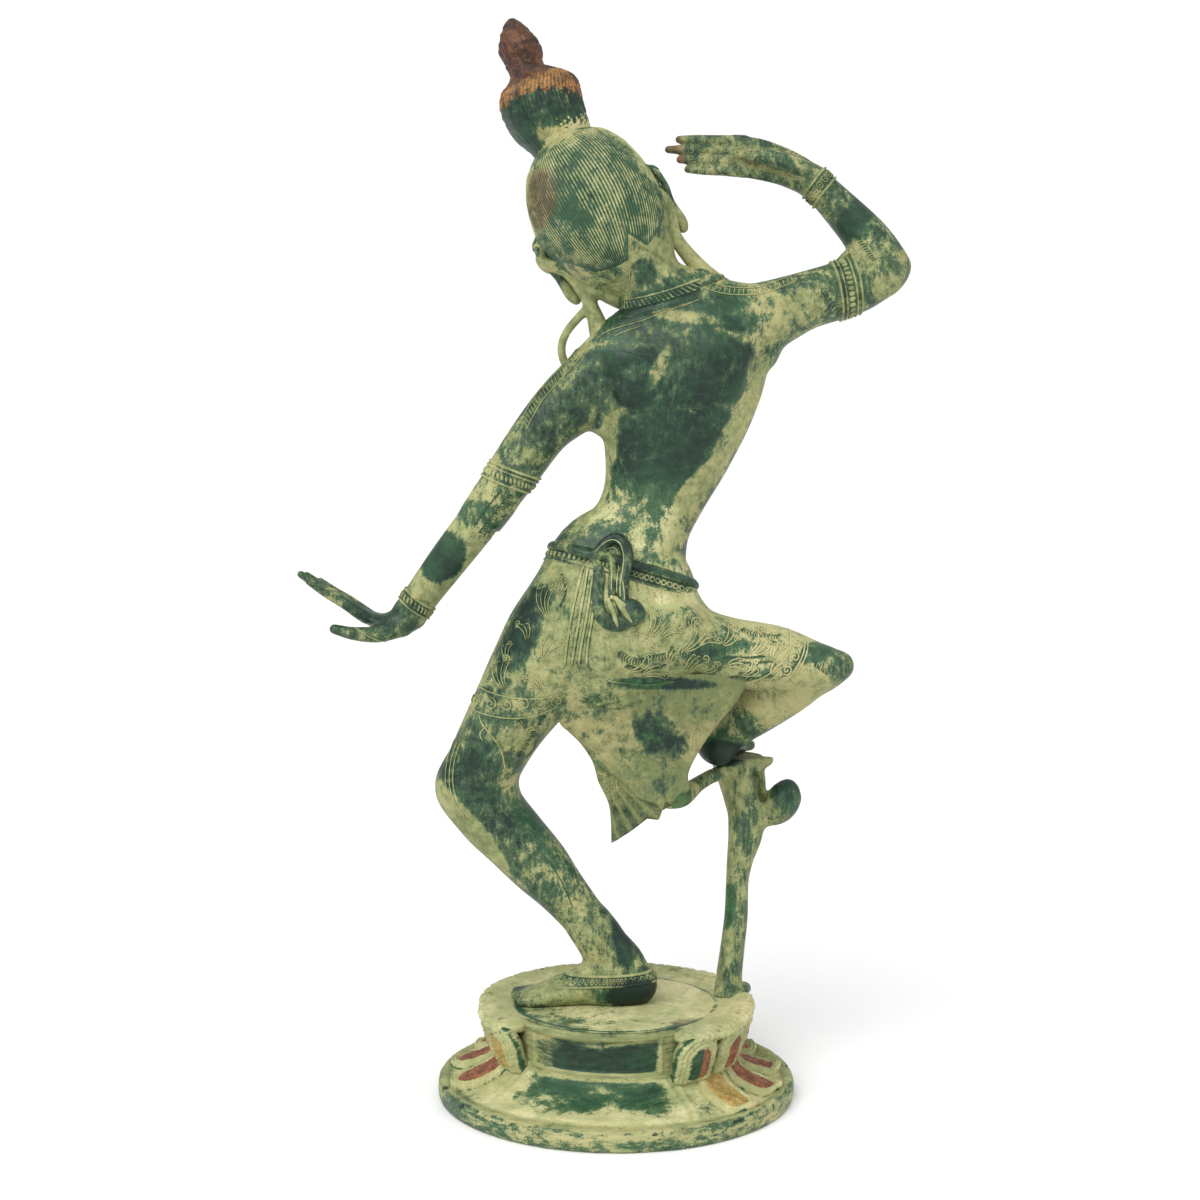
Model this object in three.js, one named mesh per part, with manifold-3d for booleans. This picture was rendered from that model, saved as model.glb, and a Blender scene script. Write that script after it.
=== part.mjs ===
// Dancing Tara: a cast bronze figure that stands on one bent leg, its raised foot on a lotus pod.
// Millimetres, +Z up. The origin is the centre of the plinth's underside, and the figure faces -Y.
import * as THREE from 'three';
import { LoftGeometry } from 'three/addons/geometries/LoftGeometry.js';
import { mergeVertices } from 'three/addons/utils/BufferGeometryUtils.js';
import Module from 'manifold-3d';

const wasm = await Module();
wasm.setup();

// Driving dimensions of the whole
const HEIGHT = 600;
const FIGURE_TURN = THREE.MathUtils.degToRad( 192 );
const CASTING_GAP = 0.3;

// Driving dimensions of the plinth
const RIM_RADIUS = 98.5;
const RIM_HEIGHT = 11;
const RIM_ROUND = 2.5;
const APRON_TOP = 26;
const DRUM_RADIUS = 62;
const PLINTH_TOP = 50;
const DISC_RADIUS = 59;
const DISC_EDGE = 2;
const PANEL_HALF_ANGLE = 38;
const PETAL_PITCH = 284 / 12;
const PETAL_COUNT = 12;
const UPPER_PETAL_RADIUS = 78;
const PETAL_THICKNESS = 4;

// The sole of the standing foot, and the top of the pod under the raised foot
const SOLE = PLINTH_TOP + CASTING_GAP;
const POD_TOP = 183;
const RAISED_SOLE = POD_TOP + CASTING_GAP;

// The figure's joints, as [ right, front, up ]: its own right hand, its own front, and up
const PELVIS = [ - 2, 1, 262 ];
const SHOULDER_LEFT = [ - 1, 2, 407 ];
const ELBOW_LEFT = [ - 73, 7, 326 ];
const WRIST_LEFT = [ - 117, 15, 270 ];
const KNUCKLES_LEFT = [ - 147, 20, 271 ];
const SHOULDER_RIGHT = [ 68, 3, 428 ];
const ELBOW_RIGHT = [ 148, 13, 463 ];
const WRIST_RIGHT = [ 111, 15, 512 ];
const KNUCKLES_RIGHT = [ 66, 18, 527.3 ];
const HIP_LEFT = [ - 14, 0, 262 ];
const KNEE_LEFT = [ - 79, 12, 171 ];
const ANKLE_LEFT = [ - 12, 0, 87 ];
const HIP_RIGHT = [ 18, 0, 254 ];
const KNEE_RIGHT = [ 116, 1, 241 ];
const ANKLE_RIGHT = [ 57, 34, 192 ];
const HEAD_CENTRE = [ - 9, 3, 491 ];
const HEAD_TILT = THREE.MathUtils.degToRad( 33.7 );

// The axis of the hips' belt, which leans to the right as it rises
const BELT_CENTRE = [ 2.5, 0, 295 ];
const BELT_AXIS = [ 0.32, 0, 0.947 ];

// A rounded end is drawn in by one section, this far round its quarter circle
const DOME_ANGLE = THREE.MathUtils.degToRad( 54 );

const vector = ( point ) => new THREE.Vector3( ...point );

// A cast form skinned over elliptical sections. A row is [ right, front, up, halfWidth, halfDepth ]:
// the width lies across the picture of the figure's back, the depth runs from back to front.
// Sections stand square to the path, or to a fixed heading. An end is drawn in to a dome, or left flat.
function skin( rows, options = {} ) {

	const { sides = 10, depthAxis = [ 0, 1, 0 ], heading = null } = options;
	const { domeStart = true, domeEnd = true } = options;

	const centres = rows.map( ( row ) => new THREE.Vector3( row[ 0 ], row[ 1 ], row[ 2 ] ) );
	const depth = vector( depthAxis );
	const sections = [];

	const addSection = ( index, share, offset ) => {

		const ahead = centres[ Math.min( index + 1, centres.length - 1 ) ];
		const behind = centres[ Math.max( index - 1, 0 ) ];
		const tangent = heading ? vector( heading ) : ahead.clone().sub( behind ).normalize();
		const across = new THREE.Vector3().crossVectors( depth, tangent ).normalize();
		const through = new THREE.Vector3().crossVectors( tangent, across );
		const centre = centres[ index ].clone().addScaledVector( tangent, offset );
		const [ width, thickness ] = rows[ index ].slice( 3 );
		const section = [];

		for ( let j = 0; j < sides; j ++ ) {

			const angle = j / sides * Math.PI * 2;
			section.push( centre.clone()
				.addScaledVector( across, width * share * Math.cos( angle ) )
				.addScaledVector( through, thickness * share * Math.sin( angle ) ) );

		}

		sections.push( section );

	};

	const end = rows.length - 1;
	const domeRise = ( index ) => Math.min( rows[ index ][ 3 ], rows[ index ][ 4 ] ) * Math.sin( DOME_ANGLE );

	if ( domeStart ) addSection( 0, Math.cos( DOME_ANGLE ), - domeRise( 0 ) );
	for ( let i = 0; i <= end; i ++ ) addSection( i, 1, 0 );
	if ( domeEnd ) addSection( end, Math.cos( DOME_ANGLE ), domeRise( end ) );

	return toSolid( new LoftGeometry( sections, { capStart: true, capEnd: true } ) );

}

// Rows of a limb between two joints, from [ share of its length, halfWidth, halfDepth, bow ].
// The bow shifts a section sideways, outward from the straight line between the joints.
function limbRows( from, to, girths ) {

	const start = vector( from );
	const line = vector( to ).sub( start );
	const outward = new THREE.Vector3( 0, 1, 0 ).cross( line ).normalize();

	return girths.map( ( [ share, width, depth, bow = 0 ] ) => {

		const centre = start.clone().addScaledVector( line, share ).addScaledVector( outward, bow );
		return [ ...centre.toArray(), width, depth ];

	} );

}

const limb = ( from, to, girths, options ) => skin( limbRows( from, to, girths ), options );

// A round rod through points, such as a finger, a cord of the sash or the side of an earring.
function rod( points, radii, options ) {

	const rows = points.map( ( point, i ) => {

		const radius = radii[ Math.min( i, radii.length - 1 ) ];
		return [ ...point, radius, radius ];

	} );
	return skin( rows, { sides: 6, ...options } );

}

// A raised band round a limb: a short thick section across it.
function band( centre, axis, halfWidth, halfDepth, height, options ) {

	const middle = vector( centre );
	const along = vector( axis ).normalize();
	const rows = [ - 0.5, 0.5 ].map( ( share ) => {

		const place = middle.clone().addScaledVector( along, share * height );
		return [ ...place.toArray(), halfWidth, halfDepth ];

	} );
	return skin( rows, { domeStart: false, domeEnd: false, ...options } );

}

// A closed geometry becomes a solid that can be joined and cut.
function toSolid( geometry ) {

	const bare = new THREE.BufferGeometry();
	bare.setAttribute( 'position', geometry.attributes.position );
	bare.setIndex( geometry.index );
	const merged = mergeVertices( bare, 1e-4 );

	return new wasm.Manifold( new wasm.Mesh( {
		numProp: 3,
		vertProperties: new Float32Array( merged.attributes.position.array ),
		triVerts: new Uint32Array( merged.index.array )
	} ) );

}

const join = ( solids ) => solids.reduce( ( whole, solid ) => whole.add( solid ) );

// A finished solid becomes a named mesh.
function toMesh( name, solid, finish ) {

	const { vertProperties, triVerts } = solid.getMesh();
	const geometry = new THREE.BufferGeometry();
	geometry.setAttribute( 'position', new THREE.BufferAttribute( vertProperties, 3 ) );
	geometry.setIndex( new THREE.BufferAttribute( triVerts, 1 ) );
	geometry.computeVertexNormals();
	const mesh = new THREE.Mesh( geometry, new THREE.MeshStandardMaterial( finish ) );
	mesh.name = name;
	return mesh;

}

// A large block, used to cut a form off flat below a level.
function blockBelow( level, centre, reach ) {

	const block = new THREE.BoxGeometry( reach, reach, reach );
	block.translate( centre[ 0 ], centre[ 1 ], level - reach / 2 );
	return toSolid( block );

}

// The turned body of the plinth: rim, sloping apron, drum and the disc that the figure stands on.
function plinthBody() {

	const profile = [
		[ 0, 0 ],
		[ RIM_RADIUS, 0 ],
		[ RIM_RADIUS, RIM_HEIGHT - RIM_ROUND ],
		[ RIM_RADIUS - RIM_ROUND, RIM_HEIGHT ],
		[ DRUM_RADIUS + 18, RIM_HEIGHT + 4 ],
		[ DRUM_RADIUS + 5, APRON_TOP - 5 ],
		[ DRUM_RADIUS, APRON_TOP ],
		[ DRUM_RADIUS, PLINTH_TOP - DISC_EDGE ],
		[ DISC_RADIUS, PLINTH_TOP ],
		[ 0, PLINTH_TOP ]
	].map( ( [ radius, up ] ) => new THREE.Vector2( radius, up ) );

	const lathe = new THREE.LatheGeometry( profile, 36 );
	lathe.rotateX( Math.PI / 2 );
	return toSolid( lathe );

}

// One petal, a shell-like leaf skinned outward from its root. A row is [ radius, up, halfWidth ].
function petal( angle, rows ) {

	const skinned = rows.map( ( [ radius, up, halfWidth ] ) => [ 0, - radius, up, PETAL_THICKNESS, halfWidth ] );
	const solid = skin( skinned, { sides: 6, depthAxis: [ 1, 0, 0 ], domeStart: false } );
	return solid.rotate( [ 0, 0, THREE.MathUtils.radToDeg( angle ) ] );

}

// The swelling that backs the upper petals, an arc that stops short of the plain panel behind.
function petalBacking() {

	const start = THREE.MathUtils.degToRad( PANEL_HALF_ANGLE + 5 );
	const end = 2 * Math.PI - start;
	const count = 16;
	const rows = [];

	for ( let i = 0; i <= count; i ++ ) {

		const angle = Math.PI / 2 + start + ( end - start ) * i / count;
		const radius = DRUM_RADIUS + 1;
		rows.push( [ radius * Math.cos( angle ), radius * Math.sin( angle ), PLINTH_TOP - 10, 9, 10 ] );

	}

	return skin( rows, { sides: 6, depthAxis: [ 0, 0, 1 ] } );

}

function buildPlinth() {

	const pieces = [ plinthBody(), petalBacking() ];
	const panelAngle = Math.PI;

	for ( let i = 0; i < PETAL_COUNT; i ++ ) {

		const turn = PANEL_HALF_ANGLE + ( i + 0.5 ) * PETAL_PITCH;
		const angle = panelAngle + THREE.MathUtils.degToRad( turn );
		pieces.push( petal( angle, [
			[ DRUM_RADIUS - 3, APRON_TOP - 5, 11 ],
			[ UPPER_PETAL_RADIUS - 7, APRON_TOP + 9, 14 ],
			[ UPPER_PETAL_RADIUS - 4, PLINTH_TOP - 9, 14.5 ],
			[ UPPER_PETAL_RADIUS - 6, PLINTH_TOP - 1, 12 ]
		] ) );

	}

	for ( let i = 0; i < PETAL_COUNT - 1; i ++ ) {

		const turn = PANEL_HALF_ANGLE + ( i + 1 ) * PETAL_PITCH;
		const angle = panelAngle + THREE.MathUtils.degToRad( turn );
		pieces.push( petal( angle, [
			[ DRUM_RADIUS - 3, APRON_TOP - 6, 10 ],
			[ DRUM_RADIUS + 13, RIM_HEIGHT + 5, 14 ],
			[ RIM_RADIUS - 14, RIM_HEIGHT + 0.5, 16 ],
			[ RIM_RADIUS - 6, RIM_HEIGHT - 2.5, 11 ]
		] ) );

	}

	const reach = 3 * RIM_RADIUS;
	const lid = new THREE.BoxGeometry( reach, reach, reach );
	lid.translate( 0, 0, PLINTH_TOP + reach / 2 );
	return join( pieces ).subtract( toSolid( lid ) );

}

// Hips, waist, chest and shoulders in one sweep, with the neck.
function buildTorso() {

	const trunk = skin( [
		[ - 8, 0, 236, 34, 23 ],
		[ - 5, - 1, 252, 44, 28 ],
		[ ...PELVIS, 47, 29 ],
		[ 0, 0, 280, 46, 28 ],
		[ ...BELT_CENTRE, 42, 26 ],
		[ 8.6, 2, 308.6, 33, 22 ],
		[ 15.6, 3, 323, 27.2, 19 ],
		[ 22.6, 3, 341, 29.4, 20 ],
		[ 29, 3, 364, 36.4, 23 ],
		[ 34.5, 3, 392, 44.4, 25 ],
		[ 37, 3, 415, 48, 23 ],
		[ 32, 2, 433, 42, 18 ],
		[ 25, 1, 444, 25, 15 ]
	], { sides: 14 } );

	const neck = skin( [
		[ 28, 1, 438, 22, 16 ],
		[ 22, 0, 451, 17, 16 ],
		[ 15, 0, 464, 16, 16 ],
		[ 5, 1, 478, 18, 18 ]
	], { domeStart: false } );

	const collar = band( [ 24, 1, 447 ], [ - 0.4, 0, 0.9 ], 22, 18.5, 7 );
	const belt = band( BELT_CENTRE, BELT_AXIS, 44.6, 28, 9, { sides: 14 } );
	const bust = [ 15, 53 ].map( ( right ) => skin( [
		[ right, 14, 397, 15, 15 ],
		[ right + 1, 24, 396, 12, 12 ]
	], { sides: 8, depthAxis: [ 0, 0, 1 ] } ) );

	return [ trunk, neck, collar, belt, ...bust ];

}

function buildLeftArm() {

	const upper = limb( SHOULDER_LEFT, ELBOW_LEFT, [
		[ - 0.12, 22, 18, - 1 ],
		[ 0.1, 20, 16.5, 3 ],
		[ 0.3, 18, 15, 6 ],
		[ 0.48, 15.4, 14, 7.3 ],
		[ 0.75, 14.4, 13, 4.2 ],
		[ 1, 11.8, 11.6, 0.8 ]
	] );
	const lower = limb( ELBOW_LEFT, WRIST_LEFT, [
		[ - 0.1, 11.6, 11.4, 1 ],
		[ 0.2, 11.4, 11.4, 1 ],
		[ 0.5, 11, 10.6, 1 ],
		[ 0.8, 10, 9.4, 0.6 ],
		[ 1, 9.8, 8.8 ]
	] );
	const armlet = band( [ - 59, 5, 347.5 ], [ - 0.66, 0, - 0.75 ], 15.6, 14.6, 15 );
	const bracelet = band( [ - 114, 14.5, 275 ], [ - 0.62, 0, - 0.78 ], 11, 10.6, 8 );

	const palm = skin( [
		[ - 117, 15, 269, 9.4, 8.5 ],
		[ - 124, 16, 264.5, 8, 10 ],
		[ - 134, 18, 264.5, 5.4, 12 ],
		[ ...KNUCKLES_LEFT, 3.8, 12.5 ]
	] );
	const thumb = rod( [ [ - 121, 10, 262 ], [ - 134, 5, 258 ], [ - 147, 2, 257.5 ], [ - 157, 1, 260 ] ], [ 5.6, 5, 3.6, 2.6 ] );
	const fingerLengths = [ 32, 36.5, 35, 29 ];
	const fingers = fingerLengths.map( ( length, i ) => {

		const spread = i - 1.5;
		const root = [ KNUCKLES_LEFT[ 0 ] + 4, KNUCKLES_LEFT[ 1 ] + 6.2 * spread, KNUCKLES_LEFT[ 2 ] ];
		const middle = [ root[ 0 ] - length * 0.45, root[ 1 ] + 1.2 * spread, root[ 2 ] + length * 0.27 ];
		const tip = [ root[ 0 ] - length * 0.98, root[ 1 ] + 2.5 * spread, root[ 2 ] + length * 0.58 ];
		return rod( [ root, middle, tip ], [ 3.6, 3.1, 2.3 ], { sides: 5, domeStart: false } );

	} );

	return [ upper, lower, armlet, bracelet, palm, thumb, ...fingers ];

}

function buildRightArm() {

	const upper = limb( SHOULDER_RIGHT, ELBOW_RIGHT, [
		[ - 0.2, 26, 19, - 2 ],
		[ 0.05, 23, 17.5, - 2 ],
		[ 0.25, 19.6, 16, - 1.6 ],
		[ 0.48, 16.4, 14.5, - 0.5 ],
		[ 0.7, 16.4, 14, 2 ],
		[ 0.85, 16.6, 14, 2.5 ],
		[ 0.99, 17, 13.5, - 0.5 ]
	] );
	const lower = limb( ELBOW_RIGHT, WRIST_RIGHT, [
		[ - 0.02, 16.5, 13.5, 2 ],
		[ 0.16, 14.4, 13, 4.4 ],
		[ 0.36, 12.2, 12, 5 ],
		[ 0.7, 10.4, 10.5, 3 ],
		[ 1, 9, 8.8, 0.5 ]
	] );
	const armlet = band( [ 131.5, 11, 454 ], [ 0.9, 0, 0.38 ], 17.6, 15.6, 14 );
	const bracelet = band( [ 113.5, 15, 510 ], [ - 0.6, 0, 0.8 ], 11.2, 10.6, 8 );

	const palm = skin( [
		[ ...WRIST_RIGHT, 9, 8.5 ],
		[ 104, 16, 516.5, 10, 7 ],
		[ 94, 17.5, 521.5, 10.6, 5.5 ],
		[ 80, 18, 525.5, 11.6, 4.6 ],
		[ ...KNUCKLES_RIGHT, 11.6, 4.2 ]
	] );
	const thumb = rod( [ [ 106, 10, 517 ], [ 94, 8, 522 ], [ 82, 9, 525 ], [ 71, 11, 526.5 ] ], [ 5, 5, 4, 2.8 ] );
	const tips = [ [ 36, 18, 536 ], [ 30, 18, 530.5 ], [ 36, 18, 525 ], [ 41, 18, 519.5 ] ];
	const fingers = tips.map( ( tip, i ) => {

		const root = [ KNUCKLES_RIGHT[ 0 ] + 3, KNUCKLES_RIGHT[ 1 ], KNUCKLES_RIGHT[ 2 ] + 8.4 - 5.6 * i ];
		return rod( [ root, [ ( root[ 0 ] + tip[ 0 ] ) / 2, 18.6, ( root[ 2 ] + tip[ 2 ] ) / 2 ], tip ], [ 3.3, 3.1, 2.3 ], { sides: 5, domeStart: false } );

	} );

	return [ upper, lower, armlet, bracelet, palm, thumb, ...fingers ];

}

// The standing leg, its foot turned out to the figure's left on the plinth's disc.
function buildStandingLeg() {

	const thigh = limb( HIP_LEFT, KNEE_LEFT, [
		[ - 0.1, 34, 28, 1 ],
		[ 0.1, 35, 28, 7 ],
		[ 0.3, 29, 27, 9.6 ],
		[ 0.6, 23.6, 25, 8.3 ],
		[ 0.85, 21.3, 23, 4.8 ],
		[ 1, 21.6, 21.5 ]
	] );
	const shin = limb( KNEE_LEFT, ANKLE_LEFT, [
		[ - 0.02, 21.4, 20.5, 1 ],
		[ 0.15, 20.2, 20, 3 ],
		[ 0.34, 18.6, 19.5, 1.4 ],
		[ 0.52, 17.2, 18, - 0.3 ],
		[ 0.67, 14.6, 15.5, - 1.3 ],
		[ 0.83, 12.8, 13, - 2 ],
		[ 1, 12, 11.5, - 2 ]
	] );
	const heel = skin( [
		[ - 13, 0, 92, 12, 11.5 ],
		[ - 6, 0, 81, 14, 11.5 ],
		[ - 1, 0, 70, 18, 12 ],
		[ 2, 0, 58, 19.5, 12 ]
	] );
	const foot = skin( [
		[ 12, 0, 60, 11, 11 ],
		[ - 8, 0, 61, 12, 12.5 ],
		[ - 24, 0, 58, 9.5, 13 ],
		[ - 40, 0, 54.5, 7, 14 ],
		[ - 48, 0, 53, 5.5, 14 ]
	] );
	const anklet = band( [ - 7, 0, 63 ], [ 0.12, 0, 1 ], 28, 16.5, 8, { sides: 12 } );
	const toes = [ 0, 1, 2, 3, 4 ].map( ( i ) => {

		const front = - 10.5 + 5.3 * i;
		const reach = - 59 + 1.4 * Math.abs( i - 3.4 );
		return rod( [ [ - 42, front, 54 ], [ reach, front, 52.5 ] ], [ 4, 2.6 ], { sides: 5, domeStart: false } );

	} );
	const standing = join( [ shin, heel, foot, anklet, ...toes ] )
		.subtract( blockBelow( SOLE, [ 0, 0 ], 400 ) );

	return [ thigh, standing ];

}

// The raised leg: the knee out to the figure's right, the shin folded back and forward to the pod.
function buildRaisedLeg() {

	const thigh = limb( HIP_RIGHT, KNEE_RIGHT, [
		[ - 0.15, 38, 30, 3 ],
		[ 0.08, 29.5, 29, - 4 ],
		[ 0.26, 22, 27, - 4 ],
		[ 0.45, 20.5, 25, - 1.5 ],
		[ 0.72, 19, 22, - 1 ],
		[ 0.92, 15.5, 18.5, 1 ],
		[ 1.07, 13.6, 15, 0.5 ]
	] );
	const shin = limb( KNEE_RIGHT, ANKLE_RIGHT, [
		[ 0, 14, 15 ],
		[ 0.22, 16, 16.5, 1.5 ],
		[ 0.48, 16, 17, 3 ],
		[ 0.75, 13.5, 14, 2.5 ],
		[ 1, 9.6, 10 ]
	] );
	const foot = skin( [
		[ 60, 30, 190, 11, 10 ],
		[ 62, 42, 190, 11.5, 9 ],
		[ 66, 58, 187.5, 12, 6.5 ],
		[ 70, 72, 186, 12, 4.5 ],
		[ 73, 80, 185.5, 11.5, 4 ]
	], { depthAxis: [ 0, 0, 1 ] } );
	const heel = skin( [ [ 57, 33, 198, 9.5, 9.5 ], [ 59, 32, 188, 10.5, 11 ] ] );
	const anklet = band( [ 57.5, 35, 196 ], [ 0.2, 0, 1 ], 12.5, 13.5, 6 );
	const toes = [ 0, 1, 2, 3, 4 ].map( ( i ) => {

		const right = 65 + 4.6 * i;
		const reach = 88 - 1.3 * Math.abs( i - 0.8 );
		return rod( [ [ right - 1.5, 74, 186 ], [ right, reach, 186 ] ], [ 3, 2.5 ], {
			sides: 5, domeStart: false, depthAxis: [ 0, 0, 1 ]
		} );

	} );
	const raised = join( [ foot, heel, anklet, ...toes ] )
		.subtract( blockBelow( RAISED_SOLE, [ 70, 60 ], 60 ) );

	return [ thigh, shin, raised ];

}

// Head, face and topknot, made upright round the head's own centre and then tilted to the left.
function buildHead() {

	const skull = skin( [
		[ 0, 24, - 47, 9, 8 ],
		[ 0, 20, - 41, 17, 15 ],
		[ 0, 11, - 30, 25, 27 ],
		[ 0, 5, - 15, 32, 36 ],
		[ 0, 2, 0, 36, 40 ],
		[ 1, 0, 15, 37, 40 ],
		[ 2, - 2, 31, 32, 35 ],
		[ 2, - 3, 41, 22, 25 ]
	], { sides: 14, heading: [ 0, 0, 1 ] } );
	const nose = rod( [ [ 0, 42, 2 ], [ 0, 47, - 9 ], [ 0, 47.5, - 13 ] ], [ 2.5, 3.6, 4 ], { depthAxis: [ 1, 0, 0 ] } );
	const lips = rod( [ [ - 7, 36, - 25 ], [ 0, 39, - 24.5 ], [ 7, 36, - 25 ] ], [ 2.4, 3.6, 2.4 ], { depthAxis: [ 0, 0, 1 ] } );
	const diadem = rod( [
		[ - 36, 2, 10 ], [ - 30, 26, 14 ], [ - 16, 38, 17 ], [ 0, 41, 18 ], [ 16, 38, 17 ], [ 30, 26, 14 ], [ 36, 2, 10 ]
	], [ 3 ], { sides: 5 } );
	const leaves = [ - 2, - 1, 0, 1, 2 ].map( ( i ) => {

		const angle = i * 0.55;
		const lean = new THREE.Vector3( 35 * Math.sin( angle ), 40 * Math.cos( angle ), 0 );
		const tall = 15 - 2.5 * Math.abs( i );
		return skin( [
			[ lean.x, lean.y, 17, 6, 2.4 ],
			[ lean.x, lean.y, 17 + tall * 0.5, 6.5, 2.4 ],
			[ lean.x * 0.97, lean.y * 0.97, 17 + tall, 1.5, 1.2 ]
		], { sides: 6, depthAxis: [ Math.sin( angle ), Math.cos( angle ), 0 ] } );

	} );
	const ears = [ - 1, 1 ].map( ( side ) => skin( [
		[ side * 36, 5, 8, 3, 6 ],
		[ side * 37.5, 4, 0, 4, 7.5 ],
		[ side * 37, 5, - 10, 3.5, 5 ],
		[ side * 36, 6, - 22, 3, 3.6 ]
	], { sides: 6 } ) );

	return [ skull, nose, lips, diadem, ...leaves, ...ears ].map( ( solid ) =>
		solid.rotate( [ 0, - THREE.MathUtils.radToDeg( HEAD_TILT ), 0 ] ).translate( HEAD_CENTRE ) );

}

// The topknot: a gathered bun and its bud-shaped finial.
function buildTopknot() {

	const bun = skin( [
		[ - 19, 3, 509, 17, 17 ],
		[ - 29, 3, 528, 17.6, 17.6 ],
		[ - 36, 3, 540, 22, 21.6 ],
		[ - 41, 3, 552.5, 24, 23.6 ],
		[ - 45, 3, 561.5, 22, 22 ],
		[ - 49, 3, 566.5, 14.5, 14.5 ],
		[ - 50.6, 3, 570, 10.6, 10.6 ]
	], { domeEnd: false } );
	const finial = skin( [
		[ - 49.5, 3, 568, 10, 10 ],
		[ - 51.8, 3, 575, 11.9, 11.9 ],
		[ - 53, 3, 582, 13.2, 13.2 ],
		[ - 54, 3, 590, 10.6, 10.6 ],
		[ - 56.3, 3, 596, 4.6, 4.6 ],
		[ - 57, 3, HEIGHT, 2, 2 ]
	], { sides: 10, domeStart: false, domeEnd: false, heading: [ 0, 0, 1 ] } );

	return [ bun, finial ];

}

// Ear ornaments: a hoop and its hanger on the left, a ribbon on the right, down to the shoulders.
function buildOrnaments() {

	const hanger = rod( [ [ - 32, 5, 464 ], [ - 21, 5, 452 ], [ - 13, 4, 437 ], [ - 8, 3, 425 ] ], [ 6.5, 5, 4.4, 6 ] );
	const hoop = rod( [
		[ - 17, 5, 441 ], [ - 24, 5, 434 ], [ - 28.8, 5, 423 ], [ - 27.5, 5, 413 ], [ - 22, 4, 405 ]
	], [ 3 ] );
	const ribbon = rod( [
		[ 20, 4, 507 ], [ 26, 4, 503 ], [ 30, 4, 493 ], [ 33.5, 4, 479 ], [ 41, 4, 466 ], [ 55, 3, 452 ]
	], [ 3, 4.2, 4.2, 4.2, 4.6, 6 ] );
	const necklace = [ - 1, 1 ].map( ( side ) => rod( [
		[ 28 + side * 30, 8, 441 + side * 9 ], [ 31 + side * 22, 22, 425 + side * 4 ], [ 34, 27, 413 ]
	], [ 4 ] ) );

	return [ hanger, hoop, ribbon, ...necklace ];

}

// The sash tied behind the belt: three cords that drop from the knot, and the round tie at their end.
function buildSash() {

	const cords = [
		[ [ - 16, - 27, 303 ], [ - 6, - 29, 308 ], [ 3, - 30, 308 ], [ 7, - 31, 300 ], [ 6, - 31, 288 ] ],
		[ [ - 14, - 27, 300 ], [ - 6, - 31, 299 ], [ - 3, - 32, 292 ], [ - 2, - 32, 279 ] ],
		[ [ - 12, - 28, 294 ], [ - 11, - 31, 280 ], [ - 9, - 31, 270 ], [ - 3, - 31, 264 ] ]
	].map( ( points ) => rod( points, [ 3.4 ], { sides: 5 } ) );
	const tie = skin( [ [ 3, - 31, 274, 4, 4 ], [ 9, - 31, 271, 5.6, 5.4 ], [ 13, - 30, 269, 5.4, 5 ] ], { sides: 8 } );
	const pleats = [ 0, 1, 2 ].map( ( i ) => rod( [
		[ - 24 + 4.5 * i, - 24, 292 ], [ - 25 + 3.5 * i, - 26, 262 ], [ - 27 + 3 * i, - 22, 240 ]
	], [ 2.6, 2.8, 1.6 ], { sides: 5 } ) );

	return [ ...cords, tie, ...pleats ];

}

// The loose end of the skirt that hangs between the legs, a thin cast sheet.
function buildCloth() {

	const sheet = skin( [
		[ - 2, 3, 240, 38, 12 ],
		[ 11, 0, 227, 56, 6 ],
		[ 13, 0, 211, 44, 4.6 ],
		[ 16, 0, 198, 34, 4.2 ],
		[ 17, - 1, 186, 28, 4 ],
		[ 15, - 2, 174, 24, 3.8 ],
		[ 10.5, - 4, 161, 14.5, 3.6 ],
		[ 5, - 6, 151, 8, 3.2 ],
		[ 1.5, - 8, 144, 3.5, 2.6 ]
	], { heading: [ 0, 0, - 1 ], depthAxis: [ 0, 1, 0 ] } );
	const corner = skin( [ [ 20, - 2, 177, 7, 4 ], [ 28, - 1.5, 169, 8.5, 4 ], [ 33, - 1.5, 165, 6, 3.5 ] ], { sides: 8 } );
	const frontFold = skin( [
		[ - 4, 20, 262, 22, 8 ],
		[ - 2, 22, 240, 17, 6 ],
		[ 2, 17, 216, 20, 5 ],
		[ 6, 8, 196, 24, 4 ]
	], { sides: 12 } );

	return [ sheet, corner, frontFold ];

}

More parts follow.
